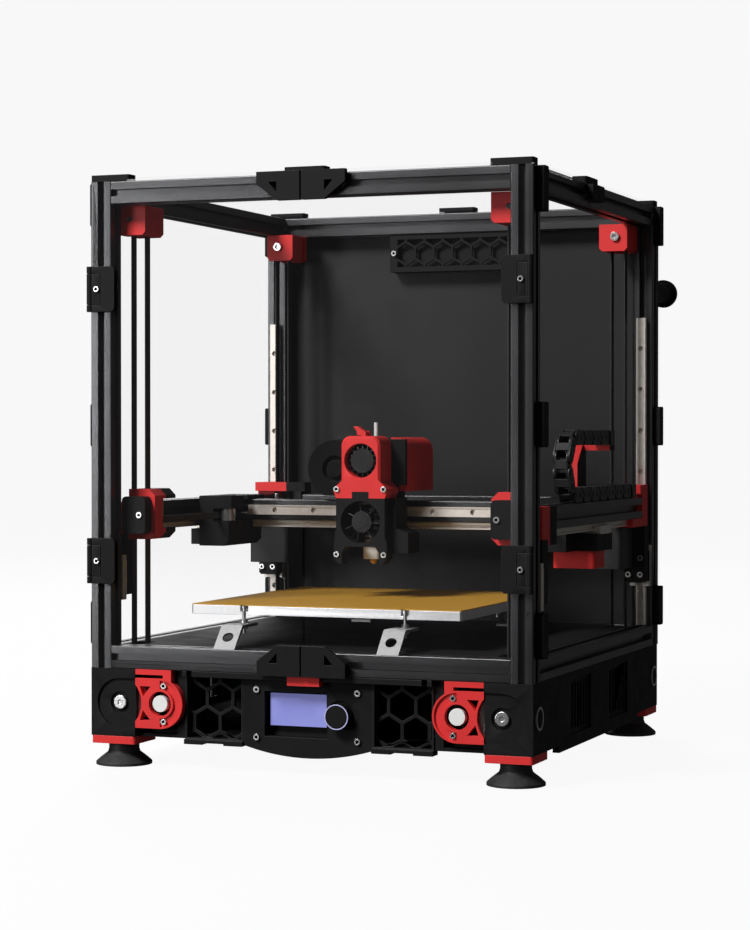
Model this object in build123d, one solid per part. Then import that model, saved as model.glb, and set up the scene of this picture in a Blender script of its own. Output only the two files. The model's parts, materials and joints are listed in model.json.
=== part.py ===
"""Enclosed CoreXY filament printer with a gantry that climbs on four belts.

Millimetres, X right, Y back, Z up. The origin is on the floor, in the middle
of the square frame. Every sub-part is written to parts/NODE.step.
"""
import os
from math import cos, radians, sin

from build123d import *

# ---------------------------------------------------------------- driving sizes
FRAME = 410.0             # outer width and depth of the frame
PROFILE = 20.0            # side of the aluminium profile
UPRIGHT = 430.0           # length of the four uprights
FOOT_HEIGHT = 20.0        # rubber foot
PLATE_THICK = 7.0         # red plate between foot and drive housing
BASE_HEIGHT = 60.0        # drive housings and skirts
PANEL = 3.0               # sheet thickness of panels, doors and deck
BED = 255.0               # side of the heated plate
BED_CENTRE = (0.0, -34.0)
BED_TOP = 142.0           # top of the aluminium plate
BRACKET_SPACING = 152.0   # between the two lines of bed brackets
Z_BELT_X = 177.4          # the four lifting belts stand at this distance from X = 0
Z_BELT_Y = 162.0          # and at this distance from Y = 0
Z_MOTOR_X = 138.0         # lifting motor shafts
Z_IDLER_Z = 485.0         # upper wheels of the lifting belts
BEAM_Z = 213.0            # underside of the gantry profiles
SIDE_BEAM_X = 193.0       # centre of each gantry side profile
X_BEAM_Y = 24.0           # centre of the cross profile at rest
TOOL_X = -9.5             # centre of the toolhead at rest
NOZZLE_Y = -15.0          # the nozzle hangs in front of the cross profile
RAIL_WIDTH = 9.0
RAIL_HEIGHT = 6.5
CARRIAGE_TOP = 10.0       # carriage height above the face that carries the rail
RUNNING = 0.05            # clearance of a running fit

# ---------------------------------------------------------------- derived sizes
HALF = FRAME / 2
INNER = HALF - PROFILE
CENTRE = HALF - PROFILE / 2
PLATE_Z = FOOT_HEIGHT
HOUSING_Z = PLATE_Z + PLATE_THICK
FRAME_Z = HOUSING_Z + BASE_HEIGHT
DECK_Z = FRAME_Z + PROFILE
TOP_Z = FRAME_Z + UPRIGHT
SHAFT_Z = HOUSING_Z + BASE_HEIGHT / 2
CORNERS = [(sx, sy) for sx in (-1, 1) for sy in (-1, 1)]

nodes = {}


def node(name, solids):
    """Keep the solids that make up one sub-part."""
    nodes[name] = list(solids)


# ---------------------------------------------------------------- small helpers
def block(x0, x1, y0, y1, z0, z1):
    """A box between two opposite corners."""
    size = (abs(x1 - x0), abs(y1 - y0), abs(z1 - z0))
    middle = ((x0 + x1) / 2, (y0 + y1) / 2, (z0 + z1) / 2)
    return Pos(*middle) * Box(*size)


def rod(axis, radius, start, end, across):
    """A cylinder along X, Y or Z. `across` holds its two other coordinates."""
    length = abs(end - start)
    middle = (start + end) / 2
    turn = {"X": Rot(0, 90, 0), "Y": Rot(90, 0, 0), "Z": Rot(0, 0, 0)}[axis]
    a, b = across
    place = {"X": (middle, a, b), "Y": (a, middle, b), "Z": (a, b, middle)}[axis]
    return Pos(*place) * turn * Cylinder(radius, length)


def front_plate(outline, y0, y1):
    """Extrude an X-Z outline, drawn as seen from the front, from y0 to y1."""
    face = Plane(origin=(0, y1, 0), x_dir=(1, 0, 0), z_dir=(0, -1, 0)) * outline
    return extrude(face, abs(y1 - y0), dir=(0, -1, 0))


def flip(solid, sx=1, sy=1):
    """Mirror a shape drawn for the +X, -Y corner to another corner."""
    if sx < 0:
        solid = mirror(solid, about=Plane.YZ)
    if sy > 0:
        solid = mirror(solid, about=Plane.XZ)
    return solid


def solids_of(shape):
    """The separate solids of a boolean result."""
    return list(shape.solids())


def slotted_section():
    """20 mm profile with a T-slot in each side and a bore through the core."""
    mouth, depth, lip, undercut, core = 6.2, 6.1, 1.8, 11.0, 4.2
    section = RectangleRounded(PROFILE, PROFILE, 1.0)
    for turn in range(4):
        spin = Rot(0, 0, 90 * turn)
        edge = PROFILE / 2
        section -= spin * Pos(0, edge - depth / 2) * Rectangle(mouth, depth)
        wide = Polygon(
            (-undercut / 2, edge - lip), (undercut / 2, edge - lip),
            (undercut / 2, edge - lip - 1.5), (mouth / 2, edge - depth),
            (-mouth / 2, edge - depth), (-undercut / 2, edge - lip - 1.5),
            align=None)
        section -= spin * wide
    return section - Circle(core / 2)


def profile_bar(axis, start, end, across):
    """A length of slotted profile along X, Y or Z."""
    bar = extrude(slotted_section(), abs(end - start))
    turn = {"X": Rot(0, 90, 0), "Y": Rot(-90, 0, 0), "Z": Rot(0, 0, 0)}[axis]
    a, b = across
    place = {"X": (start, a, b), "Y": (a, start, b), "Z": (a, b, start)}[axis]
    return Pos(*place) * turn * bar


def screw(place, axis, sign, head=2.75, height=3.0, socket=1.5):
    """Socket-head screw, head only: it stands on the surface at `place`."""
    head_solid = Cylinder(head, height, align=(Align.CENTER, Align.CENTER, Align.MIN))
    sink = Pos(0, 0, height - 1.6) * extrude(RegularPolygon(socket, 6), 1.6)
    turn = {"X": Rot(0, 90 * sign, 0), "Y": Rot(-90 * sign, 0, 0),
            "Z": Rot(0, 0, 0) if sign > 0 else Rot(180, 0, 0)}[axis]
    return Pos(*place) * turn * (head_solid - sink)


def rail(length, pitch=40.0):
    """Linear rail along +X, lying on Z = 0, centred on Y = 0."""
    side = RAIL_WIDTH / 2
    waist = side - 0.9
    section = Polygon(
        (-side, 0), (side, 0), (side, 2.4), (waist, 3.1), (waist, 4.3),
        (side, 5.0), (side, RAIL_HEIGHT), (-side, RAIL_HEIGHT), (-side, 5.0),
        (-waist, 4.3), (-waist, 3.1), (-side, 2.4), align=None)
    body = extrude(Plane.YZ * section, length)
    count = int(length // pitch)
    first = (length - (count - 1) * pitch) / 2
    for index in range(count):
        hole = Pos(first + index * pitch, 0, RAIL_HEIGHT - 1.6) * Cylinder(2.5, 3.2)
        body -= hole
    return body


def carriage(length=39.9):
    """Rail carriage on the rail above, centred on X = 0."""
    wide, low, gap = 20.0, 2.2, RUNNING
    body = block(-length / 2, length / 2, -wide / 2, wide / 2, low, CARRIAGE_TOP)
    groove = RAIL_WIDTH / 2 + gap
    body -= block(-length, length, -groove, groove, 0, RAIL_HEIGHT + gap)
    for end in (-1, 1):
        body -= block(end * (length / 2 - 5), end * length, -wide, wide,
                      CARRIAGE_TOP - 0.8, CARRIAGE_TOP + 1)
    return body


def belt_loop(first, r1, second, r2, thick, width, middle):
    """Closed toothed belt round two wheels whose axes lie along Y."""
    def ring(extra):
        circles = [Pos(*first) * Circle(r1 + extra), Pos(*second) * Circle(r2 + extra)]
        edges = [edge for circle in circles for edge in circle.edges()]
        return make_hull(edges)
    band = ring(RUNNING + thick) - ring(RUNNING)
    return front_plate(band, middle - width / 2, middle + width / 2)


def comb(outline, centres, across_flats, wall):
    """Cut pointy-top hexagonal cells out of an outline."""
    radius = (across_flats - wall) / 2 / cos(radians(30))
    for x, z in centres:
        cell = Pos(x, z) * RegularPolygon(radius, 6, rotation=30)
        outline -= cell
    return outline


def comb_centres(anchor, x_span, z_span, pitch):
    """Centres of a honeycomb with one cell at the anchor, over a rectangle and a little beyond."""
    row = pitch * sin(radians(60))
    found = []
    for level in range(-6, 7):
        z = anchor[1] + level * row
        shift = pitch / 2 if level % 2 else 0.0
        for step in range(-12, 13):
            x = anchor[0] + shift + step * pitch
            inside_x = x_span[0] - pitch / 2 < x < x_span[1] + pitch / 2
            inside_z = z_span[0] - row < z < z_span[1] + row
            if inside_x and inside_z:
                found.append((x, z))
    return found


# ---------------------------------------------------------------- frame
def make_frame():
    node("uprights", [profile_bar("Z", FRAME_Z, TOP_Z, (sx * CENTRE, sy * CENTRE))
                      for sx, sy in CORNERS])
    beams = {}
    for name, z in (("bottom_beams", FRAME_Z + PROFILE / 2), ("top_beams", TOP_Z - PROFILE / 2)):
        bars = [profile_bar("X", -INNER, INNER, (s * CENTRE, z)) for s in (-1, 1)]
        bars += [profile_bar("Y", -INNER, INNER, (s * CENTRE, z)) for s in (-1, 1)]
        beams[name] = bars
    node("top_beams", beams["top_beams"])
    rail_z = DECK_Z - PANEL - PROFILE / 2
    rails = [profile_bar("Y", -INNER, INNER, (x, rail_z)) for x in bracket_lines()]
    node("bottom_beams", beams["bottom_beams"] + rails)


def bracket_lines():
    """X of the two lines that carry the bed."""
    return [BED_CENTRE[0] + s * BRACKET_SPACING / 2 for s in (-1, 1)]


def make_deck():
    """Sheet inside the bottom profiles, and the sheet that closes the base between the skirts."""
    deck = block(-INNER, INNER, -INNER, INNER, DECK_Z - PANEL, DECK_Z)
    for sx, sy in CORNERS:
        deck -= block(sx * (Z_BELT_X - 11), sx * (INNER + 1), sy * (Z_BELT_Y - 7), sy * (INNER + 1),
                      DECK_Z - PANEL, DECK_Z)
    gap = 0.1
    side, corner = SKIRT_FACE - gap, -HOUSING_BACK - gap
    base = block(-side, side, -corner, corner, HOUSING_Z, HOUSING_Z + PANEL)
    base += block(-SKIRT_END, SKIRT_END, -DISPLAY_BACK + gap, side, HOUSING_Z, HOUSING_Z + PANEL)
    node("deck_panels", [deck, base])


# ---------------------------------------------------------------- bed
BRACKET_FRONT = 205.0     # toe of each front bracket
BRACKET_BEND = 187.0      # where the sloped web turns into the shelf
BRACKET_TOP_Z = 127.0
BRACKET_THICK = 2.5
BRACKET_WIDTH = 20.0
BED_THICK = 8.0
BED_SCREW_Y = BED / 2     # bed screws stand on the front and rear edges of the plate
SCREW_STEM = 1.5
SCREW_HEAD = 3.6
HEAD_HEIGHT = 5.0


def bed_bracket(x, sy):
    """Bent strip: a foot turned inward, a sloped web with a hole, a short shelf under the bed."""
    thick = BRACKET_THICK
    toe, bend = -BRACKET_FRONT, -BRACKET_BEND
    shelf_end = BED_CENTRE[1] - BED_SCREW_Y + 7
    side = Polygon(
        (toe, DECK_Z), (toe + 16, DECK_Z), (toe + 16, DECK_Z + thick), (toe + 4.2, DECK_Z + thick),
        (bend + 2.2, BRACKET_TOP_Z - thick), (shelf_end, BRACKET_TOP_Z - thick),
        (shelf_end, BRACKET_TOP_Z), (bend, BRACKET_TOP_Z), align=None)
    strip = extrude(Plane.YZ * side, BRACKET_WIDTH / 2, both=True)
    slope = Plane(origin=(0, (toe + bend) / 2, (DECK_Z + BRACKET_TOP_Z) / 2),
                  z_dir=(0, -(BRACKET_TOP_Z - DECK_Z), bend - toe))
    strip -= slope * Cylinder(5.0, 12)
    strip -= Pos(0, BED_CENTRE[1] - BED_SCREW_Y, BRACKET_TOP_Z) * Cylinder(SCREW_STEM, 20)
    if sy > 0:
        strip = mirror(strip, about=Plane.XZ.offset(-BED_CENTRE[1]))
    return Pos(x, 0, 0) * strip


def bed_screw_places():
    return [(x, BED_CENTRE[1] + s * BED_SCREW_Y) for x in bracket_lines() for s in (-1, 1)]


def bed_screw(x, y):
    """Countersunk screw with a lock nut on each side of the bracket's shelf."""
    head = Cone(SCREW_STEM, SCREW_HEAD, HEAD_HEIGHT, align=(Align.CENTER, Align.CENTER, Align.MIN))
    head -= Pos(0, 0, HEAD_HEIGHT - 1.6) * extrude(RegularPolygon(1.6, 6), 1.6)
    head = Pos(x, y, BED_TOP - HEAD_HEIGHT) * head
    stem = rod("Z", SCREW_STEM, BRACKET_TOP_Z - 9, BED_TOP - HEAD_HEIGHT, (x, y))
    parts = [head + stem]
    for low in (BRACKET_TOP_Z - BRACKET_THICK - 3, BRACKET_TOP_Z):
        nut = rod("Z", 3.2, low, low + 3, (x, y))
        parts.append(nut - rod("Z", SCREW_STEM, low, low + 3, (x, y)))
    return parts


def make_bed():
    node("bed_brackets", [bed_bracket(x, sy) for x in bracket_lines() for sy in (-1, 1)])
    plate_z = BED_TOP - BED_THICK
    x0, x1 = BED_CENTRE[0] - BED / 2, BED_CENTRE[0] + BED / 2
    y0, y1 = BED_CENTRE[1] - BED / 2, BED_CENTRE[1] + BED / 2
    plate = chamfer(block(x0, x1, y0, y1, plate_z, BED_TOP).edges().filter_by(Axis.Z), 1.5)
    for x, y in bed_screw_places():
        plate -= Pos(x, y, BED_TOP) * Cylinder(SCREW_STEM + 0.1, 40)
        plate -= Pos(x, y, BED_TOP) * Cylinder(SCREW_HEAD + 0.1, 2 * HEAD_HEIGHT)
    pad = 100.0
    heater = block(BED_CENTRE[0] - pad, BED_CENTRE[0] + pad, BED_CENTRE[1] - pad,
                   BED_CENTRE[1] + pad, plate_z - 1.5, plate_z)
    node("bed_plate", [plate, heater])
    sheet = block(x0 + 0.5, x1 - 0.5, y0 + 0.5, y1 - 0.5, BED_TOP, BED_TOP + 1.0)
    for x, y in bed_screw_places():
        sheet -= Pos(x, y, BED_TOP) * Cylinder(SCREW_HEAD + 0.4, 10)
    node("build_sheet", [sheet])
    return [part for place in bed_screw_places() for part in bed_screw(*place)]


# ---------------------------------------------------------------- lifting drives
DRIVE_PLATE_RADIUS = 22.0
HOUSING_IN = 116.0        # inboard end of each drive housing
CORNER_IN = 162.0         # inboard edge of the corner block's front face
FACE_Y = -HALF            # front face, for the front right corner
PLATE_FACE = FACE_Y + 0.5
PLATE_SINK = 2.0          # depth of the groove between the plate's rim and its boss
PLATE_SCREW = (-3.5, 15.7)    # screws of each drive plate, from the motor's centre
CHAMBER = (-197.5, -189.0)
MOTOR_POCKET = (-186.0, -150.0)
WHEEL_HALF = 7.0          # half width of the lifting wheels
BELT_POCKET = (-Z_BELT_Y - WHEEL_HALF - 2, -Z_BELT_Y + WHEEL_HALF + 2)
HOUSING_BACK = -150.0
BIG_WHEEL = 24.4
SMALL_WHEEL = 5.6
LIFT_WHEEL = 6.0
SHAFT_END = 6.4           # the thick front end of each shaft
RECESS = 21.5             # round-ended recess in the face of each housing


def drive_housing():
    """Black housing at the +X, -Y corner: shaft walls, belt chamber, motor pocket."""
    top = FRAME_Z
    body = block(HOUSING_IN, HALF, CHAMBER[0], HOUSING_BACK, HOUSING_Z, top)
    body += block(CORNER_IN, HALF, FACE_Y, CHAMBER[0], HOUSING_Z, top)
    body -= block(HOUSING_IN + 8, HALF - 1.4, CHAMBER[0], CHAMBER[1], HOUSING_Z + 3, top - 3)
    body -= block(HOUSING_IN - 1, Z_MOTOR_X + 22, MOTOR_POCKET[0], MOTOR_POCKET[1],
                  SHAFT_Z - 22, SHAFT_Z + 22)
    body -= block(Z_BELT_X - 12, Z_BELT_X + 12, BELT_POCKET[0], BELT_POCKET[1], SHAFT_Z - 13, top)
    body -= rod("Y", 4.0 + RUNNING, FACE_Y, HOUSING_BACK, (Z_BELT_X, SHAFT_Z))
    body -= rod("Y", SHAFT_END + RUNNING, FACE_Y, CHAMBER[0], (Z_BELT_X, SHAFT_Z))
    body -= rod("Y", 12.0, CHAMBER[1], MOTOR_POCKET[0], (Z_MOTOR_X, SHAFT_Z))
    recess = Pos(Z_BELT_X, SHAFT_Z) * Circle(RECESS)
    recess += Pos((Z_BELT_X + CORNER_IN) / 2 - 1, SHAFT_Z) * Rectangle(Z_BELT_X - CORNER_IN + 2, 2 * RECESS)
    body -= front_plate(recess, FACE_Y, FACE_Y + 2)
    body -= rod("Y", 9.5, FACE_Y, FACE_Y + 4, (Z_BELT_X, SHAFT_Z))
    return body


def drive_plate():
    """Red D-shaped plate over the motor wheel, with its strap that reaches up to the frame."""
    radius = DRIVE_PLATE_RADIUS
    outline = Pos(Z_MOTOR_X, SHAFT_Z) * Circle(radius)
    outline += Pos((Z_MOTOR_X + CORNER_IN) / 2, SHAFT_Z) * Rectangle(CORNER_IN - Z_MOTOR_X, 2 * radius)
    outline -= Pos(Z_BELT_X + 3, SHAFT_Z) * Circle(24.5)
    outline -= Pos(Z_MOTOR_X, SHAFT_Z) * Circle(10.8)
    for s in (-1, 1):
        outline -= Pos(Z_MOTOR_X + PLATE_SCREW[0], SHAFT_Z + s * PLATE_SCREW[1]) * Circle(1.6)
        outline -= Polygon((Z_MOTOR_X + 9, SHAFT_Z + s * 15), (Z_MOTOR_X + 19.5, SHAFT_Z + s * 15),
                           (Z_MOTOR_X + 16.5, SHAFT_Z + s * 6), align=None)
    face = PLATE_FACE
    plate = front_plate(outline, face, CHAMBER[0])
    groove = Pos(Z_MOTOR_X, SHAFT_Z) * Circle(radius - 1.6) - Pos(Z_MOTOR_X, SHAFT_Z) * Circle(13.0)
    groove &= Pos(Z_MOTOR_X - radius, SHAFT_Z) * Rectangle(2 * radius, 2 * radius)
    plate -= front_plate(groove, face, face + PLATE_SINK)
    left, right, leg, bar = Z_MOTOR_X - 11, CORNER_IN, 8.0, 4.8
    strap = Polygon((left, SHAFT_Z + 18), (left, FRAME_Z), (right, FRAME_Z), (right, FRAME_Z - bar),
                    (left + leg, FRAME_Z - bar), (left + leg, SHAFT_Z + 18), align=None)
    strap = front_plate(strap, face, CHAMBER[0])
    strap -= front_plate(Pos(Z_MOTOR_X, SHAFT_Z) * Circle(radius - 1), FACE_Y, CHAMBER[0])
    return plate + strap


def lift_wheel(z):
    """Flanged wheel of the lifting belt."""
    y0, y1, flange = -Z_BELT_Y - WHEEL_HALF, -Z_BELT_Y + WHEEL_HALF, 1.6
    wheel = rod("Y", LIFT_WHEEL, y0, y1, (Z_BELT_X, z))
    wheel += rod("Y", 8.5, y0, y0 + flange, (Z_BELT_X, z))
    return wheel + rod("Y", 8.5, y1 - flange, y1, (Z_BELT_X, z))


def lift_shaft():
    """Turning shaft with the large driven wheel and the lifting wheel."""
    shaft = rod("Y", 4.0, -198.0, HOUSING_BACK - 2, (Z_BELT_X, SHAFT_Z))
    head = rod("Y", SHAFT_END, FACE_Y + 1, -198.0, (Z_BELT_X, SHAFT_Z))
    head = chamfer(head.edges().group_by(Axis.Y)[0], 0.6)
    shaft += head - rod("Y", 2.0, FACE_Y + 1, FACE_Y + 2, (Z_BELT_X, SHAFT_Z))
    shaft += rod("Y", BIG_WHEEL, -196.5, -190.0, (Z_BELT_X, SHAFT_Z))
    return shaft + lift_wheel(SHAFT_Z)


def lift_motor():
    """Square motor body with its shaft and small wheel."""
    half = 21.0
    outline = RectangleRounded(2 * half, 2 * half, 4.0)
    body = front_plate(Pos(Z_MOTOR_X, SHAFT_Z) * outline, MOTOR_POCKET[0], MOTOR_POCKET[1] - 1)
    body += rod("Y", 11.0, MOTOR_POCKET[0] - 2, MOTOR_POCKET[0], (Z_MOTOR_X, SHAFT_Z))
    body += rod("Y", SMALL_WHEEL, -203.0, MOTOR_POCKET[0] - 2, (Z_MOTOR_X, SHAFT_Z))
    body += rod("Y", 7.3, -204.0, -197.5, (Z_MOTOR_X, SHAFT_Z))
    return body


def make_lift_drives():
    node("z_drive_housings", [flip(drive_housing(), sx, sy) for sx, sy in CORNERS])
    node("z_drive_plates", [flip(drive_plate(), sx, sy) for sx, sy in CORNERS])
    node("z_motors", [flip(lift_motor(), sx, sy) for sx, sy in CORNERS])
    for sx, sy in CORNERS:
        name = ("rear" if sy > 0 else "front") + ("_right" if sx > 0 else "_left")
        node("z_shaft_" + name, [flip(lift_shaft(), sx, sy)])
    belts = []
    for sx, sy in CORNERS:
        lift = belt_loop((Z_BELT_X, SHAFT_Z), LIFT_WHEEL, (Z_BELT_X, Z_IDLER_Z), LIFT_WHEEL,
                         1.4, 9.0, -Z_BELT_Y)
        drive = belt_loop((Z_BELT_X, SHAFT_Z), BIG_WHEEL, (Z_MOTOR_X, SHAFT_Z), SMALL_WHEEL,
                          1.2, 6.0, -193.25)
        belts += [flip(lift, sx, sy), flip(drive, sx, sy)]
    node("z_belts", belts)


IDLER_FACE = -148.0       # inner face of the upper wheel blocks


def idler_housing():
    """Red block under the top profiles that carries the upper belt wheel."""
    body = block(Z_BELT_X - 16, Z_BELT_X + 12, -INNER, IDLER_FACE, Z_IDLER_Z - 14, TOP_Z - PROFILE)
    body = chamfer(body.edges().filter_by(Axis.Y).group_by(Axis.Z)[0], 3)
    slot = WHEEL_HALF + 1
    body -= block(Z_BELT_X - 9.5, Z_BELT_X + 9.5, -Z_BELT_Y - slot, -Z_BELT_Y + slot,
                  0, TOP_Z - PROFILE - 2)
    return body - rod("Y", 2.5, -200, -100, (Z_BELT_X, Z_IDLER_Z))


def make_idlers():
    wheel = lift_wheel(Z_IDLER_Z) - rod("Y", 2.5, -200, -100, (Z_BELT_X, Z_IDLER_Z))
    pin = rod("Y", 2.5, -Z_BELT_Y - 12, IDLER_FACE, (Z_BELT_X, Z_IDLER_Z))
    pin += screw((Z_BELT_X, IDLER_FACE, Z_IDLER_Z), "Y", 1, head=4.2, height=3.0, socket=2.2)
    parts = []
    for sx, sy in CORNERS:
        parts += [flip(idler_housing(), sx, sy), flip(wheel, sx, sy), flip(pin, sx, sy)]
    node("z_idlers", parts)


def make_lift_rails():
    length = 300.0
    low = 107.5
    rails = []
    for sx, sy in CORNERS:
        bar = Plane(origin=(CENTRE, -INNER, low), x_dir=(0, 0, 1), z_dir=(0, 1, 0)) * rail(length)
        rails.append(flip(bar, sx, sy))
    node("z_rails", rails)


# ---------------------------------------------------------------- base
SKIRT_FACE = 199.0        # front face of the recessed skirts
COMB_FACE = 193.0         # the honeycomb lies deeper than the skirt's border
SKIRT_BACK = 189.0
DISPLAY_HALF = 60.0
DISPLAY_BACK = 187.0
SKIRT_END = Z_MOTOR_X - DRIVE_PLATE_RADIUS - 0.1
COMB_PITCH = 24.7
COMB_WALL = 3.0
COMB_ANCHOR = (85.0, 62.7)    # centre of one of the cells
LIP = 5.0                 # strip along the top of each skirt
KNOB = (31.0, 53.0)       # display knob, X and Z
SCREEN = (-37.0, 16.0, 41.5, 70.0)
DISPLAY_SCREWS = (47.0, 52.2, 20.7)


def make_feet():
    corner = (CORNER_IN + HALF) / 2
    size = HALF - CORNER_IN
    plate = Pos(corner, -corner, PLATE_Z) * extrude(RectangleRounded(size, size, 3), PLATE_THICK)
    latch = block(-15, 15, -208, -SKIRT_FACE, FRAME_Z - 9, FRAME_Z - 0.5)
    node("base_trims", [flip(plate, sx, sy) for sx, sy in CORNERS] + [latch])
    outline = Polygon((0, 0), (25, 0), (25, 2.5), (21, 6), (14.5, 11), (13.5, 14), (13.5, FOOT_HEIGHT),
                      (0, FOOT_HEIGHT), align=None)
    foot = revolve(Plane.XZ * outline, Axis.Z)
    node("rubber_feet", [Pos(sx * corner, sy * corner, 0) * foot for sx, sy in CORNERS])


def make_front_skirts():
    x0, x1 = DISPLAY_HALF, SKIRT_END
    z0, z1 = HOUSING_Z, FRAME_Z - LIP
    middle = Pos((x0 + x1) / 2, (z0 + z1) / 2)
    outline = middle * Rectangle(x1 - x0, z1 - z0)
    window = middle * Rectangle(x1 - x0 - 4, z1 - z0 - 2)
    centres = comb_centres(COMB_ANCHOR, (x0, x1), (z0, z1), COMB_PITCH)
    web = comb(window, centres, COMB_PITCH, COMB_WALL)
    skirt = front_plate(outline - window, -SKIRT_FACE, -SKIRT_BACK)
    skirt += front_plate(web, -COMB_FACE, -SKIRT_BACK)
    skirt += block(x0, x1, -HALF, -SKIRT_BACK, z1, FRAME_Z)
    for start, end, drop in ((x0, x0 + 18, 4.5), (x0 + 18, x0 + 38, 3.0), (x0 + 38, x1, 4.5)):
        skirt += block(start, end, -SKIRT_FACE - 3, -SKIRT_BACK, z0 - drop, z0)
    skirt -= block(x1 - 9, x1 - 4, -HALF, -SKIRT_FACE, z1, FRAME_Z)
    node("front_skirts", [skirt, mirror(skirt, about=Plane.YZ)])


def side_skirt():
    """Flat skirt with two tall recessed grilles and a scalloped lower edge."""
    end = -HOUSING_BACK
    skirt = block(SKIRT_FACE, HALF, -end, end, HOUSING_Z, FRAME_Z)
    skirt += block(SKIRT_FACE, HALF, -end + 20, end - 20, HOUSING_Z - 6, HOUSING_Z)
    for middle in (-62.0, 62.0):
        skirt -= block(HALF - 3, HALF, middle - 32, middle + 32, HOUSING_Z + 5, FRAME_Z - 7)
        for step in range(-3, 4):
            y = middle + step * 9
            skirt -= block(SKIRT_FACE, HALF, y - 3, y + 3, HOUSING_Z + 9, FRAME_Z - 11)
    return skirt


def make_side_skirts():
    right = side_skirt()
    left = mirror(right, about=Plane.YZ)
    rear = block(-SKIRT_END, SKIRT_END, SKIRT_FACE, HALF, HOUSING_Z, FRAME_Z)
    rear -= block(-61, 11, SKIRT_FACE, HALF, 39, 75)
    for step in range(-4, 5):
        rear -= block(64 + step * 8 - 2.5, 64 + step * 8 + 2.5, SKIRT_FACE, HALF, 36, 78)
    node("side_skirts", [right, left, rear])


def make_display():
    half, low = DISPLAY_HALF, HOUSING_Z - 3
    top = Polyline((-half, low), (-half, FRAME_Z), (half, FRAME_Z), (half, low))
    bulge = ThreePointArc((half, low), (0, low - 9), (-half, low))
    outline = make_face([*top.edges(), bulge])
    outline -= Pos(-10.5, 52.2) * Rectangle(59, 39)
    housing = front_plate(outline, -SKIRT_FACE, -DISPLAY_BACK)
    housing += block(-half, half, -HALF, -SKIRT_FACE, FRAME_Z - LIP, FRAME_Z)
    housing -= block(-15, 15, -208, -SKIRT_FACE, FRAME_Z - 9, FRAME_Z)
    housing -= rod("Y", 3.1, -205, -180, KNOB)
    housing -= rod("Y", 13.0, -SKIRT_FACE, -SKIRT_FACE + 2, KNOB)
    node("display_housing", [housing])
    back = -DISPLAY_BACK
    board = block(-44, 44, back, back + 1.6, 31, 74) - rod("Y", 3.4, -205, -180, KNOB)
    glass = block(SCREEN[0], SCREEN[1], back - 6, back, SCREEN[2], SCREEN[3])
    node("display_screen", [glass, board])
    knob = rod("Y", 11.0, -209, -SKIRT_FACE - 0.3, KNOB) + rod("Y", 3.0, -SKIRT_FACE - 0.3, back, KNOB)
    knob -= rod("Y", 9.8, -209, -208.2, KNOB)
    knob += rod("Y", 9.2, -209, -208.2, KNOB)
    node("display_knob", [knob])


SWITCH_TILT = 7.0         # the rocker rests tilted to one side


def make_power_entry():
    entry = block(-61, 11, SKIRT_FACE - 2, HALF + 2, 39, 75)
    socket = block(-52, -26, SKIRT_FACE, HALF + 2, 47, 67)
    for x in (-46, -39, -32):
        socket -= block(x - 2, x + 2, SKIRT_FACE, HALF - 1, 56, 58)
    entry -= socket
    entry -= block(-10, 4, SKIRT_FACE, HALF + 2, 45, 69)
    entry -= rod("X", 1.3, -11, 5, (HALF - 1, SHAFT_Z))
    node("power_inlet", [entry])
    rocker = Polygon((-3.2, -9), (-3.2, 9), (2.6, 10.4), (1.0, 0), (2.6, -10.4), align=None)
    rocker = extrude(Plane.YZ * rocker, 6.8, both=True)
    rocker = Pos(-3, HALF - 1, SHAFT_Z) * Rot(SWITCH_TILT, 0, 0) * rocker
    node("power_switch", [rocker + rod("X", 1.25, -10.9, 4.9, (HALF - 1, SHAFT_Z))])


def make_electronics():
    rail_bottom = DECK_Z - PANEL - PROFILE
    supply = block(-135, -25, -100, 115, rail_bottom - 30, rail_bottom)
    for step in range(10):
        supply -= block(-120, -40, -80 + step * 18, -76 + step * 18, rail_bottom - 30, rail_bottom - 29)
    board = block(15, 125, -70, 80, rail_bottom - 1.6, rail_bottom)
    chips = [(35, -40), (35, 0), (35, 40), (100, -40), (100, 0), (100, 40)]
    for x, y in chips:
        board += block(x - 10, x + 10, y - 8, y + 8, rail_bottom - 12, rail_bottom - 1.6)
    node("electronics", [supply, board])


# ---------------------------------------------------------------- panels and doors
DOOR_GAP = 0.75
HINGE_X, HINGE_Y = 203.5, 209.5
HINGE_HEIGHTS = (422.0, 182.0)
HINGE_HALF = 20.0
HINGE_WINDOW = 14.0       # half height of the window that the fixed base fills
WINDOW_EDGE = 192.5       # inboard edge of that window
HINGE_FACE = 211.0        # front of the leaves and bases
MIDDLE_CLIP_Y = -28.0
EXHAUST_PITCH = 20.0
EXHAUST_ANCHOR = (7.0, 478.0)


def clip(place, size):
    """Rounded clip, given by its centre and its three sizes."""
    body = Pos(*place) * Box(*size)
    thin = min(range(3), key=lambda index: size[index])
    along = (Axis.X, Axis.Y, Axis.Z)[thin]
    return fillet(body.edges().filter_by(along), 2.4)


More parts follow.
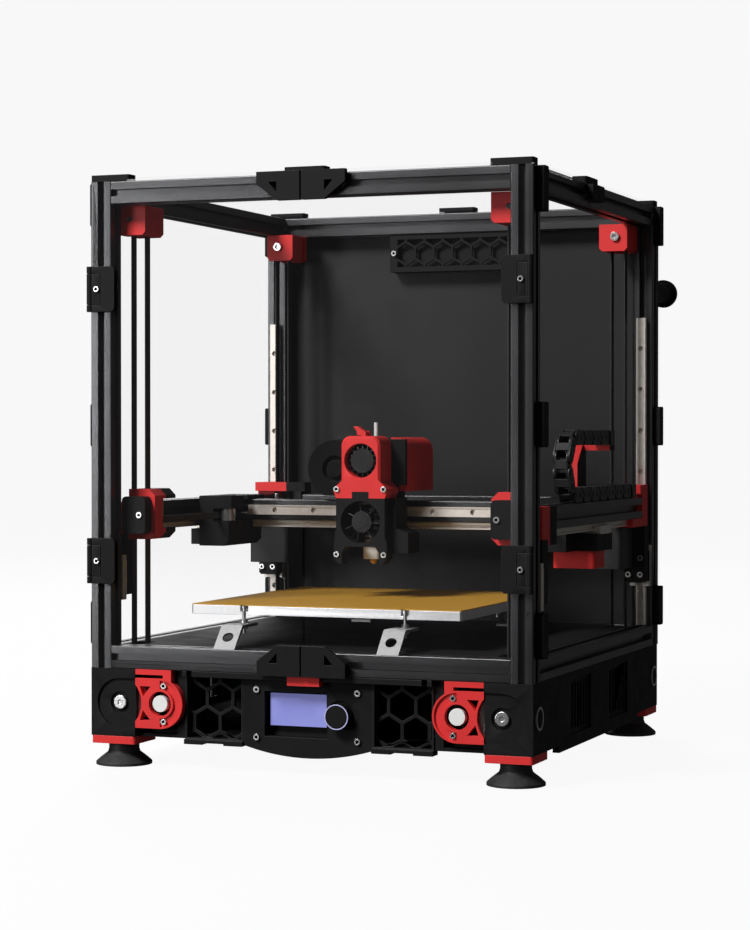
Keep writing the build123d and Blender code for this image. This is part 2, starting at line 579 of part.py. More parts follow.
def panel_clips():
    """Clips that hook over the panels and stand on the profiles."""
    thick, long, wide = 6.0, 38.0, 14.0
    lift = thick / 2
    low, middle, high = FRAME_Z + 20 + long / 2, 302, TOP_Z - long / 2
    clips = []
    for y in (-HALF + wide / 2, HALF - wide / 2):
        for x in (-HALF + long / 2, 0, HALF - long / 2):
            clips.append(clip((x, y, TOP_Z + lift), (long, wide, thick)))
    for side in (-1, 1):
        clips.append(clip((side * (HALF - wide / 2), MIDDLE_CLIP_Y, TOP_Z + lift), (wide, long, thick)))
        clips.append(clip((side * (HALF + lift), MIDDLE_CLIP_Y, TOP_Z - 8), (thick, long, wide)))
        for z in (low, middle, high):
            for y in (-HALF + 10 + wide / 2, HALF - wide / 2):
                clips.append(clip((side * (HALF + lift), y, z), (thick, wide, long)))
            clips.append(clip((side * (HALF - wide / 2), HALF + lift, z), (wide, thick, long)))
    return clips


def make_panels():
    rear = block(-HALF, HALF, HALF, HALF + PANEL, FRAME_Z, TOP_Z)
    rear -= block(-30, 30, HALF, HALF + PANEL, 465, 490)
    side = block(HALF, HALF + PANEL, -HALF + 10, HALF, FRAME_Z, TOP_Z)
    sides = [side, mirror(side, about=Plane.YZ)]
    top = block(-HALF, HALF, -HALF, HALF, TOP_Z, TOP_Z + PANEL)
    clips = panel_clips()
    for one in clips:
        rear -= one
        top -= one
        sides = [sheet - one for sheet in sides]
    node("rear_panel", [rear])
    node("clear_panels", [*sides, top])
    node("panel_clips", clips)


def handle_outlines():
    """Half outlines of the door grips, left of the seam: at the top and at the bottom."""
    seam = -DOOR_GAP
    half, narrow = 41.0, 22.0
    outlines = []
    for wide_z, slope_z, narrow_z in ((519.0, 508.5, 494.0), (86.5, 99.0, 113.0)):
        rise = (narrow_z - slope_z) / abs(narrow_z - slope_z)
        grip = Polygon((seam, narrow_z), (-narrow, narrow_z), (-half, slope_z), (-half, wide_z),
                       (seam, wide_z), align=None)
        window_z = slope_z - rise * 1.5
        grip -= Polygon((-narrow, window_z), (-narrow, window_z + 9 * rise), (-narrow - 8, window_z),
                        align=None)
        outlines.append(grip)
    return outlines


def hinge_leaf(z):
    """C-shaped leaf on the door, with a barrel above and below the fixed base."""
    back = HALF + PANEL
    leaf = block(-HINGE_X - 1, -179, -HINGE_FACE, -back, z - HINGE_HALF, z + HINGE_HALF)
    leaf = fillet(leaf.edges().filter_by(Axis.Y).group_by(Axis.X)[-1], 4)
    leaf += rod("Z", 3.0, z - HINGE_HALF, z + HINGE_HALF, (-HINGE_X, -HINGE_Y))
    leaf -= block(-HINGE_X - 4, -WINDOW_EDGE, -HINGE_FACE - 4, -HALF, z - HINGE_WINDOW, z + HINGE_WINDOW)
    return leaf - rod("Z", 1.25, z - HINGE_HALF, z + HINGE_HALF, (-HINGE_X, -HINGE_Y))


def hinge_base(z):
    """Base on the upright, standing in the leaf's window, and the pin through both."""
    half = HINGE_WINDOW - 0.3
    base = block(-HINGE_X - 1, -WINDOW_EDGE - 0.5, -HINGE_FACE, -HALF, z - half, z + half)
    base += rod("Z", 3.0, z - half, z + half, (-HINGE_X, -HINGE_Y))
    base -= rod("Z", 1.2, z - half, z + half, (-HINGE_X, -HINGE_Y))
    return [base, rod("Z", 1.2, z - HINGE_HALF, z + HINGE_HALF, (-HINGE_X, -HINGE_Y))]


def make_doors():
    y0, y1 = -HALF - PANEL, -HALF
    panel = block(-203, -DOOR_GAP, y0, y1, FRAME_Z + 1, TOP_Z - 1)
    grips = [front_plate(outline, y0 - 6, y0) for outline in handle_outlines()]
    leaves, bases = [], []
    for z in HINGE_HEIGHTS:
        cut = HINGE_HALF + 0.2
        panel -= block(-HALF, -WINDOW_EDGE, y0, y1, z - cut, z + cut)
        leaves.append(hinge_leaf(z))
        bases += hinge_base(z)
    node("left_door_panel", [panel])
    node("right_door_panel", [mirror(panel, about=Plane.YZ)])
    fittings = grips + leaves
    node("left_door_fittings", fittings)
    node("right_door_fittings", [mirror(part, about=Plane.YZ) for part in fittings])
    node("hinge_bases", bases + [mirror(part, about=Plane.YZ) for part in bases])


def make_exhaust():
    """Duct behind a honeycomb grille, with a filter pad in it."""
    half, low, high, wall = 70.0, 459.0, TOP_Z - PROFILE, 5.0
    face, grille_back = INNER + 2, INNER + 5
    middle = Pos(0, (low + high) / 2)
    outline = middle * Rectangle(2 * half, high - low)
    window = middle * Rectangle(2 * (half - 8), high - low - 10)
    centres = comb_centres(EXHAUST_ANCHOR, (-half, half), (low, high), EXHAUST_PITCH)
    grille = front_plate(outline - window, face, grille_back)
    grille += front_plate(comb(window, centres, EXHAUST_PITCH, 2.2), face, grille_back)
    box = block(-half, half, grille_back, HALF, low, high)
    box -= block(-half + wall, half - wall, grille_back, HALF, low + wall, high - wall)
    pad = block(-half + wall, half - wall, grille_back + 4, HALF - 4, low + wall, high - wall)
    node("exhaust_housing", [grille + box, pad])


def make_spool_holder():
    x, z = 190.0, 437.0
    y0 = HALF + PANEL
    base = block(x - 12, x + 12, y0, y0 + 5, z - 19, z + 24)
    arm = rod("Y", 10.0, y0 + 5, y0 + 82, (x, z)) + rod("Y", 14.0, y0 + 76, y0 + 82, (x, z))
    node("spool_holder", [base + arm])


# ---------------------------------------------------------------- gantry
BEAM_TOP = BEAM_Z + PROFILE
IDLER_BACK = -131.0
IDLER_FRONT = -173.0
BEAM_X = SIDE_BEAM_X - PROFILE / 2
DRIVE_FRONT = 120.0
BELT_WHEEL_X = 172.9
BELT_WHEEL = 9.0
IDLER_Y = -146.0
AB_MOTOR_Y = 134.0
JOINT_Z = 166.0           # middle of the lifting carriages
JOINT_TOP = 205.0
GANTRY_TOP = 245.0
BEAM_END = 155.0          # rear end of the side profiles
SLOT_OUT = 185.3          # outboard edge of the slots for the lifting belts
CHAIN = (184.5, 201.5)    # the cable chain lies on the right side profile


def make_gantry_frame():
    middle = BEAM_Z + PROFILE / 2
    bars = [profile_bar("Y", IDLER_BACK, BEAM_END, (s * SIDE_BEAM_X, middle)) for s in (-1, 1)]
    bars.append(profile_bar("X", -148, 148, (DRIVE_FRONT + 30, middle)))
    node("gantry_beams", bars)
    rails = []
    for s in (-1, 1):
        place = Plane(origin=(s * SIDE_BEAM_X, IDLER_BACK, BEAM_Z), x_dir=(0, 1, 0), z_dir=(0, 0, -1))
        rails.append(place * rail(DRIVE_FRONT - IDLER_BACK))
    node("y_rails", rails)


def z_joint():
    """Block on each lifting carriage, with the carriage itself."""
    body = block(INNER, 204, -INNER + CARRIAGE_TOP, -160, JOINT_Z - 16, JOINT_TOP)
    body = chamfer(body.edges().filter_by(Axis.Y).group_by(Axis.Z)[0], 2)
    wheels = Plane(origin=(CENTRE, -INNER, JOINT_Z), x_dir=(0, 0, 1), z_dir=(0, 1, 0)) * carriage()
    heads = [screw((194 + dx, -160, JOINT_Z + dz), "Y", 1) for dx in (-6, 6) for dz in (-8, 8)]
    return [body, wheels, *heads]


def belt_slot(side):
    """Room for the lifting belt that runs through a corner of the gantry."""
    low, high = sorted((side * (Z_BELT_Y - 6), side * (Z_BELT_Y + 6)))
    return block(Z_BELT_X - 9, SLOT_OUT, low, high, JOINT_TOP - 10, GANTRY_TOP + 5)


def front_idler():
    """Red block at the front end of a side profile, with its belt wheel."""
    step = CHAIN[0] + 0.4
    body = block(158, step, IDLER_FRONT, IDLER_BACK, 200, GANTRY_TOP)
    body = chamfer(body.edges().filter_by(Axis.Y).group_by(Axis.X)[0], 6)
    body += block(step, 203, -160, IDLER_BACK, 200, GANTRY_TOP)
    body += block(step, 203, IDLER_FRONT, -160, JOINT_TOP, GANTRY_TOP)
    body -= block(CHAIN[0] - 0.5, 210, -200, -100, BEAM_TOP - 0.1, GANTRY_TOP)
    body -= block(150, 183, -157, IDLER_BACK, 210, 236)
    body -= belt_slot(-1)
    pin = rod("Z", 2.5, 210, 236, (BELT_WHEEL_X, IDLER_Y))
    wheel = rod("Z", BELT_WHEEL, 210.5, 235.5, (BELT_WHEEL_X, IDLER_Y)) - pin
    return [body, wheel, pin]


def front_cover():
    outline = Pos(173, 222) * RectangleRounded(23, 33, 4)
    cover = front_plate(outline, IDLER_FRONT - 13, IDLER_FRONT)
    return [cover, screw((167, IDLER_FRONT - 13, 222), "Y", -1, height=1.7)]


def drive_frame():
    """Rear corner frame: motor plate, top plate, and the wall that stands on the lifting joint."""
    low, high, back = 212.0, 236.0, 165.0
    body = block(148, 203, DRIVE_FRONT, back, JOINT_TOP, low)
    body += block(BEAM_X, 203, DRIVE_FRONT, BEAM_END, low, BEAM_Z)
    body += block(148, 203, 148, back, high, GANTRY_TOP)
    body += block(SLOT_OUT, 203, BEAM_END, back, low, high)
    body += block(INNER, 203, back, INNER - CARRIAGE_TOP, JOINT_TOP, GANTRY_TOP)
    body += block(148, 156, DRIVE_FRONT + 18, back, low, high)
    body -= belt_slot(1)
    body -= rod("Z", 11.0, JOINT_TOP, low, (BELT_WHEEL_X, AB_MOTOR_Y))
    return body


def gantry_motor():
    half = 21.0
    outline = RectangleRounded(2 * half, 2 * half, 4.0)
    body = Pos(BELT_WHEEL_X, AB_MOTOR_Y, JOINT_TOP - 40) * extrude(outline, 40)
    body += rod("Z", 10.9, JOINT_TOP, JOINT_TOP + 2, (BELT_WHEEL_X, AB_MOTOR_Y))
    body += rod("Z", 2.5, JOINT_TOP + 2, 234, (BELT_WHEEL_X, AB_MOTOR_Y))
    body += rod("Z", BELT_WHEEL, 212.5, 222, (BELT_WHEEL_X, AB_MOTOR_Y))
    return body


def gantry_belt():
    def ring(extra):
        length = AB_MOTOR_Y - IDLER_Y
        slot = SlotCenterToCenter(length, 2 * (BELT_WHEEL + extra))
        return Pos(BELT_WHEEL_X, (AB_MOTOR_Y + IDLER_Y) / 2) * Rot(0, 0, 90) * slot
    return Pos(0, 0, 214) * extrude(ring(RUNNING + 0.8) - ring(RUNNING), 6)


def mirrored(parts, sy=-1):
    """Both sides of a list of solids drawn on the right."""
    return [flip(part, sx, sy) for sx in (-1, 1) for part in parts]


def make_gantry_corners():
    joints = []
    for sx, sy in CORNERS:
        joints += [flip(part, sx, sy) for part in z_joint()]
    node("z_joints", joints)
    node("front_idlers", mirrored(front_idler()))
    node("front_idler_covers", mirrored(front_cover()))
    node("ab_drive_frames", mirrored([drive_frame()]))
    node("ab_motors", mirrored([gantry_motor()]))
    node("gantry_belts", mirrored([gantry_belt()]))


# ---------------------------------------------------------------- cross beam
X_BEAM_Z = 211.5
X_BEAM_HALF = 162.3
X_RAIL_HALF = 147.9
X_JOINT_IN = 148.0
X_FRONT = X_BEAM_Y - PROFILE / 2
X_WHEEL = (155.5, -22.0)


def xy_joint():
    """Joint between the cross profile and a side rail: foot, clamp, belt wheels and carriage."""
    y0, y1 = -31.0, X_BEAM_Y + 22
    foot = block(160, 203, -4, y1, 188, 203)
    slab = block(X_JOINT_IN + 3, 181.5, y0, y1, 188, X_BEAM_Z)
    foot += chamfer(slab.edges().filter_by(Axis.Y).group_by(Axis.X)[0].sort_by(Axis.Z)[0], 5)
    foot += block(167, 181.5, y0, y1, X_BEAM_Z, 235.5)
    foot += block(X_JOINT_IN, 181.5, X_FRONT - 7, y1, X_BEAM_Z + PROFILE, 235.5)
    foot += block(X_JOINT_IN, 181.5, y0, -3, 223.5, 235.5)
    foot += rod("Z", 7.5, 235.5, 236.0, X_WHEEL)
    foot = foot - rod("Z", 2.5, 200, 240, X_WHEEL)
    pin = rod("Z", 2.5, 200, 235.5, X_WHEEL)
    wheel = rod("Z", 7.0, X_BEAM_Z + 0.5, 223.0, X_WHEEL) - pin
    place = Plane(origin=(SIDE_BEAM_X, X_BEAM_Y, BEAM_Z), x_dir=(0, 1, 0), z_dir=(0, 0, -1))
    return [foot, pin, wheel, place * carriage()]


def make_cross_beam():
    middle = X_BEAM_Z + PROFILE / 2
    node("x_beam", [profile_bar("X", -X_BEAM_HALF, X_BEAM_HALF, (X_BEAM_Y, middle))])
    front = Plane(origin=(-X_RAIL_HALF, X_FRONT, middle), x_dir=(1, 0, 0), z_dir=(0, -1, 0))
    under = Plane(origin=(-X_RAIL_HALF, X_BEAM_Y, X_BEAM_Z), x_dir=(1, 0, 0), z_dir=(0, 0, -1))
    node("x_rails", [front * rail(2 * X_RAIL_HALF), under * rail(2 * X_RAIL_HALF)])
    node("xy_joints", mirrored(xy_joint()))
    pod = block(160, 200, -2, 34, 172, 188)
    pod = fillet(pod.edges().filter_by(Axis.Z), 4)
    bracket = block(168, 181.5, 20, 46, 235.5, 240)
    bracket += block(170, 176, 24, 53, 240, 284)
    bracket -= Pos(173, 24, 284) * Rot(45, 0, 0) * Box(10, 40, 24)
    bracket += block(170, 201, 44, 62, 279, 283.9)
    node("endstop_pod", [pod, bracket])


CHAIN_LOW = BEAM_TOP + RUNNING
CHAIN_THICK = 14.0
CHAIN_HIGH = 298.0
CHAIN_BEND_Y = -55.0


def make_cable_chain():
    outer = (CHAIN_HIGH - CHAIN_LOW) / 2
    centre_z = (CHAIN_HIGH + CHAIN_LOW) / 2
    x0, x1 = CHAIN
    ring = rod("X", outer, x0, x1, (CHAIN_BEND_Y, centre_z))
    ring -= rod("X", outer - CHAIN_THICK, x0, x1, (CHAIN_BEND_Y, centre_z))
    ring -= block(x0, x1, CHAIN_BEND_Y, CHAIN_BEND_Y + outer, CHAIN_LOW, CHAIN_HIGH)
    chain = ring + block(x0, x1, CHAIN_BEND_Y, 112, CHAIN_LOW, CHAIN_LOW + CHAIN_THICK)
    chain += block(x0, x1, CHAIN_BEND_Y, 62, CHAIN_HIGH - CHAIN_THICK, CHAIN_HIGH)
    node("cable_chain", [chain])


# ---------------------------------------------------------------- toolhead
TOOL_HALF = 24.0          # half width of the toolhead's covers
HOOD_HALF = 19.2          # the hood narrows above its flange
FLARE_HALF = 26.2         # and both covers widen round their screws
HOOD_Z = 235.0
HOOD_TOP = 292.4
BLOWER_Z = 269.7
FAN_Z = 213.2
NOTCH_HALF = 8.2
NOTCH_TOP = 241.0
SHROUD_LOW = 174.5
ARCH_HALF = 18.4
ARCH_TOP = 190.5
TOOL_SCREW_X = 23.2       # screws of both covers, from the centre
HOOD_SCREW_Z = 243.4
SHROUD_SCREW_Z = 183.3
LATCH_PIVOT = (TOOL_X + 2.0, HOOD_TOP + 2.4)
LATCH = (-44.8, -37.2)    # the lever lies between these two depths
TIP_Z = 173.0             # end of the nozzle
TOOL_FACE = -50.0
HOOD_BACK = -20.0
CARRIAGE_FACE = -6.0
EXTRUDER_Z = 247.0
EXTRUDER_BACK = 18.0
MOTOR_AT = (-57.0, 261.5)
MOTOR_RADIUS = 27.5
MOTOR_FLAT = 236.0


def make_tool_carriage():
    middle = X_BEAM_Z + PROFILE / 2
    front = Plane(origin=(TOOL_X, X_FRONT, middle), x_dir=(1, 0, 0), z_dir=(0, -1, 0)) * carriage()
    under = Plane(origin=(TOOL_X, X_BEAM_Y, X_BEAM_Z), x_dir=(1, 0, 0), z_dir=(0, 0, -1)) * carriage()
    x0, x1 = TOOL_X - TOOL_HALF, TOOL_X + TOOL_HALF
    face = X_FRONT - CARRIAGE_TOP
    floor = X_BEAM_Z - CARRIAGE_TOP
    frame = block(x0, x1, CARRIAGE_FACE, face, floor - 9, EXTRUDER_Z)
    frame += block(x0, x1, face, X_BEAM_Y + 10, floor - 9, floor)
    node("x_carriage", [front, under, frame])


def make_hood():
    """Red hood: rounded top, flared flange with a notch, blower opening, latch slot, cable cover."""
    top = fillet((Pos(TOOL_X, (HOOD_Z + HOOD_TOP) / 2) * Rectangle(2 * HOOD_HALF, HOOD_TOP - HOOD_Z))
                 .vertices().group_by(Axis.Y)[-1], 9)
    flange = Polygon(
        (TOOL_X - TOOL_HALF, HOOD_Z), (TOOL_X + TOOL_HALF, HOOD_Z), (TOOL_X + FLARE_HALF, HOOD_Z + 6),
        (TOOL_X + FLARE_HALF, HOOD_Z + 9), (TOOL_X + HOOD_HALF, HOOD_Z + 15.5),
        (TOOL_X - HOOD_HALF, HOOD_Z + 15.5), (TOOL_X - FLARE_HALF, HOOD_Z + 9),
        (TOOL_X - FLARE_HALF, HOOD_Z + 6), align=None)
    outline = top + flange
    outline -= Pos(TOOL_X, HOOD_Z) * Rectangle(2 * NOTCH_HALF, 2 * (NOTCH_TOP - HOOD_Z))
    hood = front_plate(outline, TOOL_FACE, HOOD_BACK)
    hood -= rod("Y", 15.8, TOOL_FACE, -26, (TOOL_X, BLOWER_Z))
    hood = chamfer(hood.faces().sort_by(Axis.Z)[-1].edges().sort_by(Axis.Y)[0], 2)
    px, pz = LATCH_PIVOT
    for y0, y1 in ((LATCH[0] - 2.2, LATCH[0] - 0.1), (LATCH[1] + 0.1, LATCH[1] + 2.2)):
        cheek = rod("Y", 2.4, y0, y1, LATCH_PIVOT) + block(px - 2.4, px + 2.4, y0, y1, HOOD_TOP - 1, pz)
        hood += cheek - rod("Y", 1.25, y0, y1, LATCH_PIVOT)
    right, low, high = TOOL_X + 33, EXTRUDER_Z, HOOD_TOP - 1.4
    cover = block(TOOL_X + 4.5, right, -14, 56, low - 6, high)
    cover = fillet(cover.edges().filter_by(Axis.Y).group_by(Axis.X)[-1].sort_by(Axis.Z)[-1], 12)
    cover -= block(TOOL_X, TOOL_X + TOOL_HALF + 0.7, -20, EXTRUDER_BACK + 0.2, low - 6, high)
    slant = Polygon((-14, low - 6), (56, low + 6), (56, low - 7), (-14, low - 7), align=None)
    cover -= Pos(TOOL_X, 0, 0) * extrude(Plane.YZ * slant, 40)
    node("toolhead_hood", [hood, cover, *tool_screws(HOOD_SCREW_Z)])


def make_latch():
    """Hook-shaped lever that turns on a pin between two cheeks on the hood."""
    px, pz = LATCH_PIVOT
    hook = Polygon((px - 7.1, pz - 1.6), (px, pz - 1.8), (px, pz + 1.8), (px - 2.5, pz + 3.2),
                   (px - 6.5, pz + 6.4), (px - 11, pz + 6.4), (px - 7.8, pz + 2.5), align=None)
    lever = front_plate(hook, *LATCH) + rod("Y", 2.0, *LATCH, LATCH_PIVOT)
    lever += rod("Y", 1.2, LATCH[0] - 2.2, LATCH[1] + 2.2, LATCH_PIVOT)
    node("extruder_latch", [lever])


def tool_screws(z):
    """The two screw heads of a toolhead cover."""
    return [screw((TOOL_X + side * TOOL_SCREW_X, TOOL_FACE, z), "Y", -1, head=2.7, height=1.7)
            for side in (-1, 1)]


def make_shroud():
    """Black cover with the fan bore, an arch round the nozzle, side walls and the air duct."""
    half, low, arch = TOOL_HALF, SHROUD_LOW, ARCH_HALF
    outline = Polygon(
        (TOOL_X - FLARE_HALF, low + 5), (TOOL_X - FLARE_HALF + 5, low), (TOOL_X + FLARE_HALF - 5, low),
        (TOOL_X + FLARE_HALF, low + 5), (TOOL_X + FLARE_HALF, low + 19), (TOOL_X + half, low + 25),
        (TOOL_X + half, HOOD_Z), (TOOL_X - half, HOOD_Z), (TOOL_X - half, low + 25),
        (TOOL_X - FLARE_HALF, low + 19), align=None)
    outline += Pos(TOOL_X, HOOD_Z) * Rectangle(2 * NOTCH_HALF - 0.2, 2 * (NOTCH_TOP - HOOD_Z) - 0.2)
    outline -= Pos(TOOL_X, FAN_Z) * Circle(19.4)
    outline -= Polygon((TOOL_X - arch, low - 1), (TOOL_X - arch, ARCH_TOP - 5), (TOOL_X - arch + 4, ARCH_TOP),
                       (TOOL_X + arch - 4, ARCH_TOP), (TOOL_X + arch, ARCH_TOP - 5), (TOOL_X + arch, low - 1),
                       align=None)
    shroud = front_plate(outline, TOOL_FACE, -36)
    for side in (-1, 1):
        outer = TOOL_X + side * half
        shroud += block(outer, outer - side * 3, -36, CARRIAGE_FACE, low + 12, HOOD_Z)
    shroud += block(TOOL_X - half, TOOL_X + half, -36, CARRIAGE_FACE, HOOD_Z - 3, HOOD_Z)
    duct = Polygon((half, low + 10), (half + 18.5, low + 10), (half + 18.5, low + 29),
                   (half + 6.5, low + 33), (half + 6.5, HOOD_Z), (half, HOOD_Z), align=None)
    shroud += Pos(TOOL_X, 0, 0) * front_plate(duct, -38, -8)
    narrow = Polygon((-half, low + 10), (-half - 12, low + 10), (-half - 12, low + 29),
                     (-half - 5, low + 33), (-half - 5, HOOD_Z), (-half, HOOD_Z), align=None)
    shroud += Pos(TOOL_X, 0, 0) * front_plate(narrow, -24, -8)
    shroud -= rod("Z", 4.1, HOOD_Z - 5, HOOD_Z + 5, (TOOL_X, NOZZLE_Y))
    hub = rod("Y", 9.8, -38, -36, (TOOL_X, FAN_Z))
    for spoke in range(4):
        arm = Pos(TOOL_X, -37, FAN_Z) * Rot(0, 45 + 90 * spoke, 0) * Pos(12, 0, 0) * Box(20, 2, 2.4)
        hub += arm
    node("fan_shroud", [shroud + hub, *tool_screws(SHROUD_SCREW_Z)])


def rotor(radius, hub, blades, y0, y1, centre, lean=25):
    """Fan rotor: hub with slanted blades, turning about Y."""
    wheel = rod("Y", hub, y0, y1, centre)
    middle = (y0 + y1) / 2
    reach = radius - hub + 2
    for index in range(blades):
        blade = Pos((hub + radius) / 2 - 1, 0, 0) * Rot(lean, 0, 0) * Box(reach, y1 - y0 - 2.0, 1.0)
        spin = Pos(centre[0], middle, centre[1]) * Rot(0, 360 / blades * index, 0)
        wheel += spin * blade
    return wheel


def make_tool_parts():
    node("hotend_fan", [rotor(18.6, 9.8, 7, -46.5, -38.5, (TOOL_X, FAN_Z))])
    drum = rotor(14.8, 11.2, 16, -45, -28, (TOOL_X, BLOWER_Z), lean=0)
    drum += rod("Y", 14.8, -28, -26.4, (TOOL_X, BLOWER_Z))
    node("blower_fan", [drum])
    front = X_FRONT - CARRIAGE_TOP + 0.1
    motor = rod("Y", MOTOR_RADIUS, front, EXTRUDER_BACK, MOTOR_AT)
    motor -= rod("Y", 12.5, front, front + 5, MOTOR_AT) - rod("Y", 8.0, front, front + 5, MOTOR_AT)
    flat = MOTOR_AT[1] - MOTOR_RADIUS - 1
    motor -= block(MOTOR_AT[0] - 40, MOTOR_AT[0] + 40, front - 1, EXTRUDER_BACK + 1, flat, MOTOR_FLAT)
    right = TOOL_X + TOOL_HALF + 0.5
    body = block(TOOL_X - 18.5, right, HOOD_BACK, EXTRUDER_BACK, EXTRUDER_Z, HOOD_TOP - 3)
    body += block(right, TOOL_X + 33, HOOD_BACK, -14.2, EXTRUDER_Z, HOOD_TOP - 3)
    body += block(MOTOR_AT[0], TOOL_X, front, EXTRUDER_BACK, EXTRUDER_Z + 4, HOOD_TOP - 12)
    body -= rod("Y", MOTOR_RADIUS, front - 1, EXTRUDER_BACK + 1, MOTOR_AT)
    body -= rod("Z", 2.05, HOOD_TOP - 12, HOOD_TOP + 5, (TOOL_X, -9))
    node("extruder", [*solids_of(body), motor])
    node("filament_tube", [rod("Z", 2.0, HOOD_TOP - 12, 305, (TOOL_X, -9))])

    place = (TOOL_X, NOZZLE_Y)
    sock_z, core_z = TIP_Z + 5, TIP_Z + 16
    core = rod("Z", 4.0, core_z, EXTRUDER_Z, place)
    for step in range(8):
        core += rod("Z", 8.5, core_z + 5 + step * 4.2, core_z + 7 + step * 4.2, place)
    core += block(TOOL_X - 10, TOOL_X + 10, NOZZLE_Y - 9, CARRIAGE_FACE, HOOD_Z - 6, HOOD_Z - 3)
    sock = block(TOOL_X - 8, TOOL_X + 8, NOZZLE_Y - 8, NOZZLE_Y + 8, sock_z, core_z)
    sock = chamfer(sock.edges().filter_by(Axis.Z), 1.5)
    tip = Pos(TOOL_X, NOZZLE_Y, TIP_Z + 1.5) * Cone(1.0, 4.0, 3)
    tip += rod("Z", 3.4, TIP_Z + 3, sock_z, place)
    node("hotend", [core, sock, tip])


# ---------------------------------------------------------------- fasteners
def frame_screws():
    heads = []
    sx, z, dz = DISPLAY_SCREWS
    for x in (-sx, sx):
        for s in (-1, 1):
            heads.append(screw((x, -SKIRT_FACE, z + s * dz), "Y", -1, head=2.75, height=2.0))
    for sx, sy in CORNERS:
        for s in (-1, 1):
            place = (Z_MOTOR_X + PLATE_SCREW[0], PLATE_FACE + PLATE_SINK, SHAFT_Z + s * PLATE_SCREW[1])
            head = screw(place, "Y", -1, head=2.6, height=PLATE_SINK + 0.3)
            heads.append(flip(head, sx, sy))
        place = (-189.5, SHAFT_Z)
        ring = rod("X", 10.0, HALF, HALF + 1.5, place) - rod("X", 8.2, HALF, HALF + 1.5, place)
        heads.append(flip(ring, sx, sy))
    for x in (-65, 65):
        heads.append(screw((x, INNER + 2, 478), "Y", -1))
    for side in (-1, 1):
        for z in HINGE_HEIGHTS:
            heads.append(screw((side * 196, -HINGE_FACE, z), "Y", -1, head=2.5, height=2.0))
    return heads


if __name__ == "__main__":
    make_frame()
    make_deck()
    bed_fasteners = make_bed()
    make_lift_drives()
    make_idlers()
    make_lift_rails()
    make_feet()
    make_front_skirts()
    make_side_skirts()
    make_display()
    make_power_entry()
    make_electronics()
    make_panels()
    make_doors()
    make_exhaust()
    make_spool_holder()
    make_gantry_frame()
    make_gantry_corners()
    make_cross_beam()
    make_cable_chain()
    make_tool_carriage()
    make_hood()
    make_latch()
    make_shroud()
    make_tool_parts()
    node("fasteners", bed_fasteners + frame_screws())
    os.makedirs("parts", exist_ok=True)
    for name, shapes in nodes.items():
        export_step(Compound(children=shapes), f"parts/{name}.step")
    print(len(nodes), "nodes")
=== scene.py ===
"""Look of an enclosed filament printer whose gantry climbs on four belts.

Metres, X right, Y back, Z up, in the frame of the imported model. CAD nodes are remade with
rounded edges and procedural finishes, and fine pieces are built in mesh code.
"""
import json
from math import cos, hypot, pi, radians, sin, tau

import bmesh
import bpy
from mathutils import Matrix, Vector


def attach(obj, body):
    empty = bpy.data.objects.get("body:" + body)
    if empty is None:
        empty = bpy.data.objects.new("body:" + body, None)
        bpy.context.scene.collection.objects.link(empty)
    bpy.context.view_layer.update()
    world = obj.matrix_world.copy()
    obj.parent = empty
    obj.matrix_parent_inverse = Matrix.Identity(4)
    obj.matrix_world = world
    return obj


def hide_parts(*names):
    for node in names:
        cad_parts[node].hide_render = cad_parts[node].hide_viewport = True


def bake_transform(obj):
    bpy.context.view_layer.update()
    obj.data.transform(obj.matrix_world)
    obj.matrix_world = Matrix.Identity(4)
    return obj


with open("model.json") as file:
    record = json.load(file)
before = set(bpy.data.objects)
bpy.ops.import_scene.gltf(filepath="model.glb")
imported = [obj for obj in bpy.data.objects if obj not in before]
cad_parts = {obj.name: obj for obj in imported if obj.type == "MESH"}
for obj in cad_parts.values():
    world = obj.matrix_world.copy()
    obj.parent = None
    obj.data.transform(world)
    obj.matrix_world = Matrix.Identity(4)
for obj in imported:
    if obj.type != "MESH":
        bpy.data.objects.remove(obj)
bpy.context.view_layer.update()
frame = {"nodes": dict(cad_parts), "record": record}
NODES = frame["nodes"]
BODY_OF = {node: body for body, members in frame["record"]["behaviour"]["bodies"].items()
           for node in members}
MM = 0.001


# ---------------------------------------------------------------- material helpers
def start_material(name, roughness, metallic=0.0):
    """A material with its Principled shader."""
    material = bpy.data.materials.new(name)
    material.use_nodes = True
    shader = material.node_tree.nodes["Principled BSDF"]
    shader.inputs["Roughness"].default_value = roughness
    shader.inputs["Metallic"].default_value = metallic
    return material, material.node_tree, shader


def place_texture(tree):
    """Texture coordinates fixed to the piece, in metres."""
    return tree.nodes.new("ShaderNodeTexCoord").outputs["Object"]


def noise(tree, vector, grain, detail=3.0):
    """Noise whose grain is about `grain` metres across."""
    texture = tree.nodes.new("ShaderNodeTexNoise")
    texture.inputs["Scale"].default_value = 1.0 / grain
    texture.inputs["Detail"].default_value = detail
    tree.links.new(vector, texture.inputs["Vector"])
    return texture.outputs["Fac"]


def bands(tree, vector, axis, pitch):
    """Straight ridges across an axis, `pitch` metres apart."""
    texture = tree.nodes.new("ShaderNodeTexWave")
    texture.wave_type = "BANDS"
    texture.bands_direction = axis
    texture.inputs["Scale"].default_value = pi / 10 / pitch
    tree.links.new(vector, texture.inputs["Vector"])
    return texture.outputs["Fac"]


# A noise texture stays mostly between these values, so a range or a ramp uses only that part.
NOISE_LOW, NOISE_HIGH = 0.3, 0.7


def spread(tree, value, low, high):
    """Map a texture's middle range to low..high."""
    node = tree.nodes.new("ShaderNodeMapRange")
    node.inputs["From Min"].default_value = NOISE_LOW
    node.inputs["From Max"].default_value = NOISE_HIGH
    node.inputs["To Min"].default_value = low
    node.inputs["To Max"].default_value = high
    tree.links.new(value, node.inputs["Value"])
    return node.outputs["Result"]


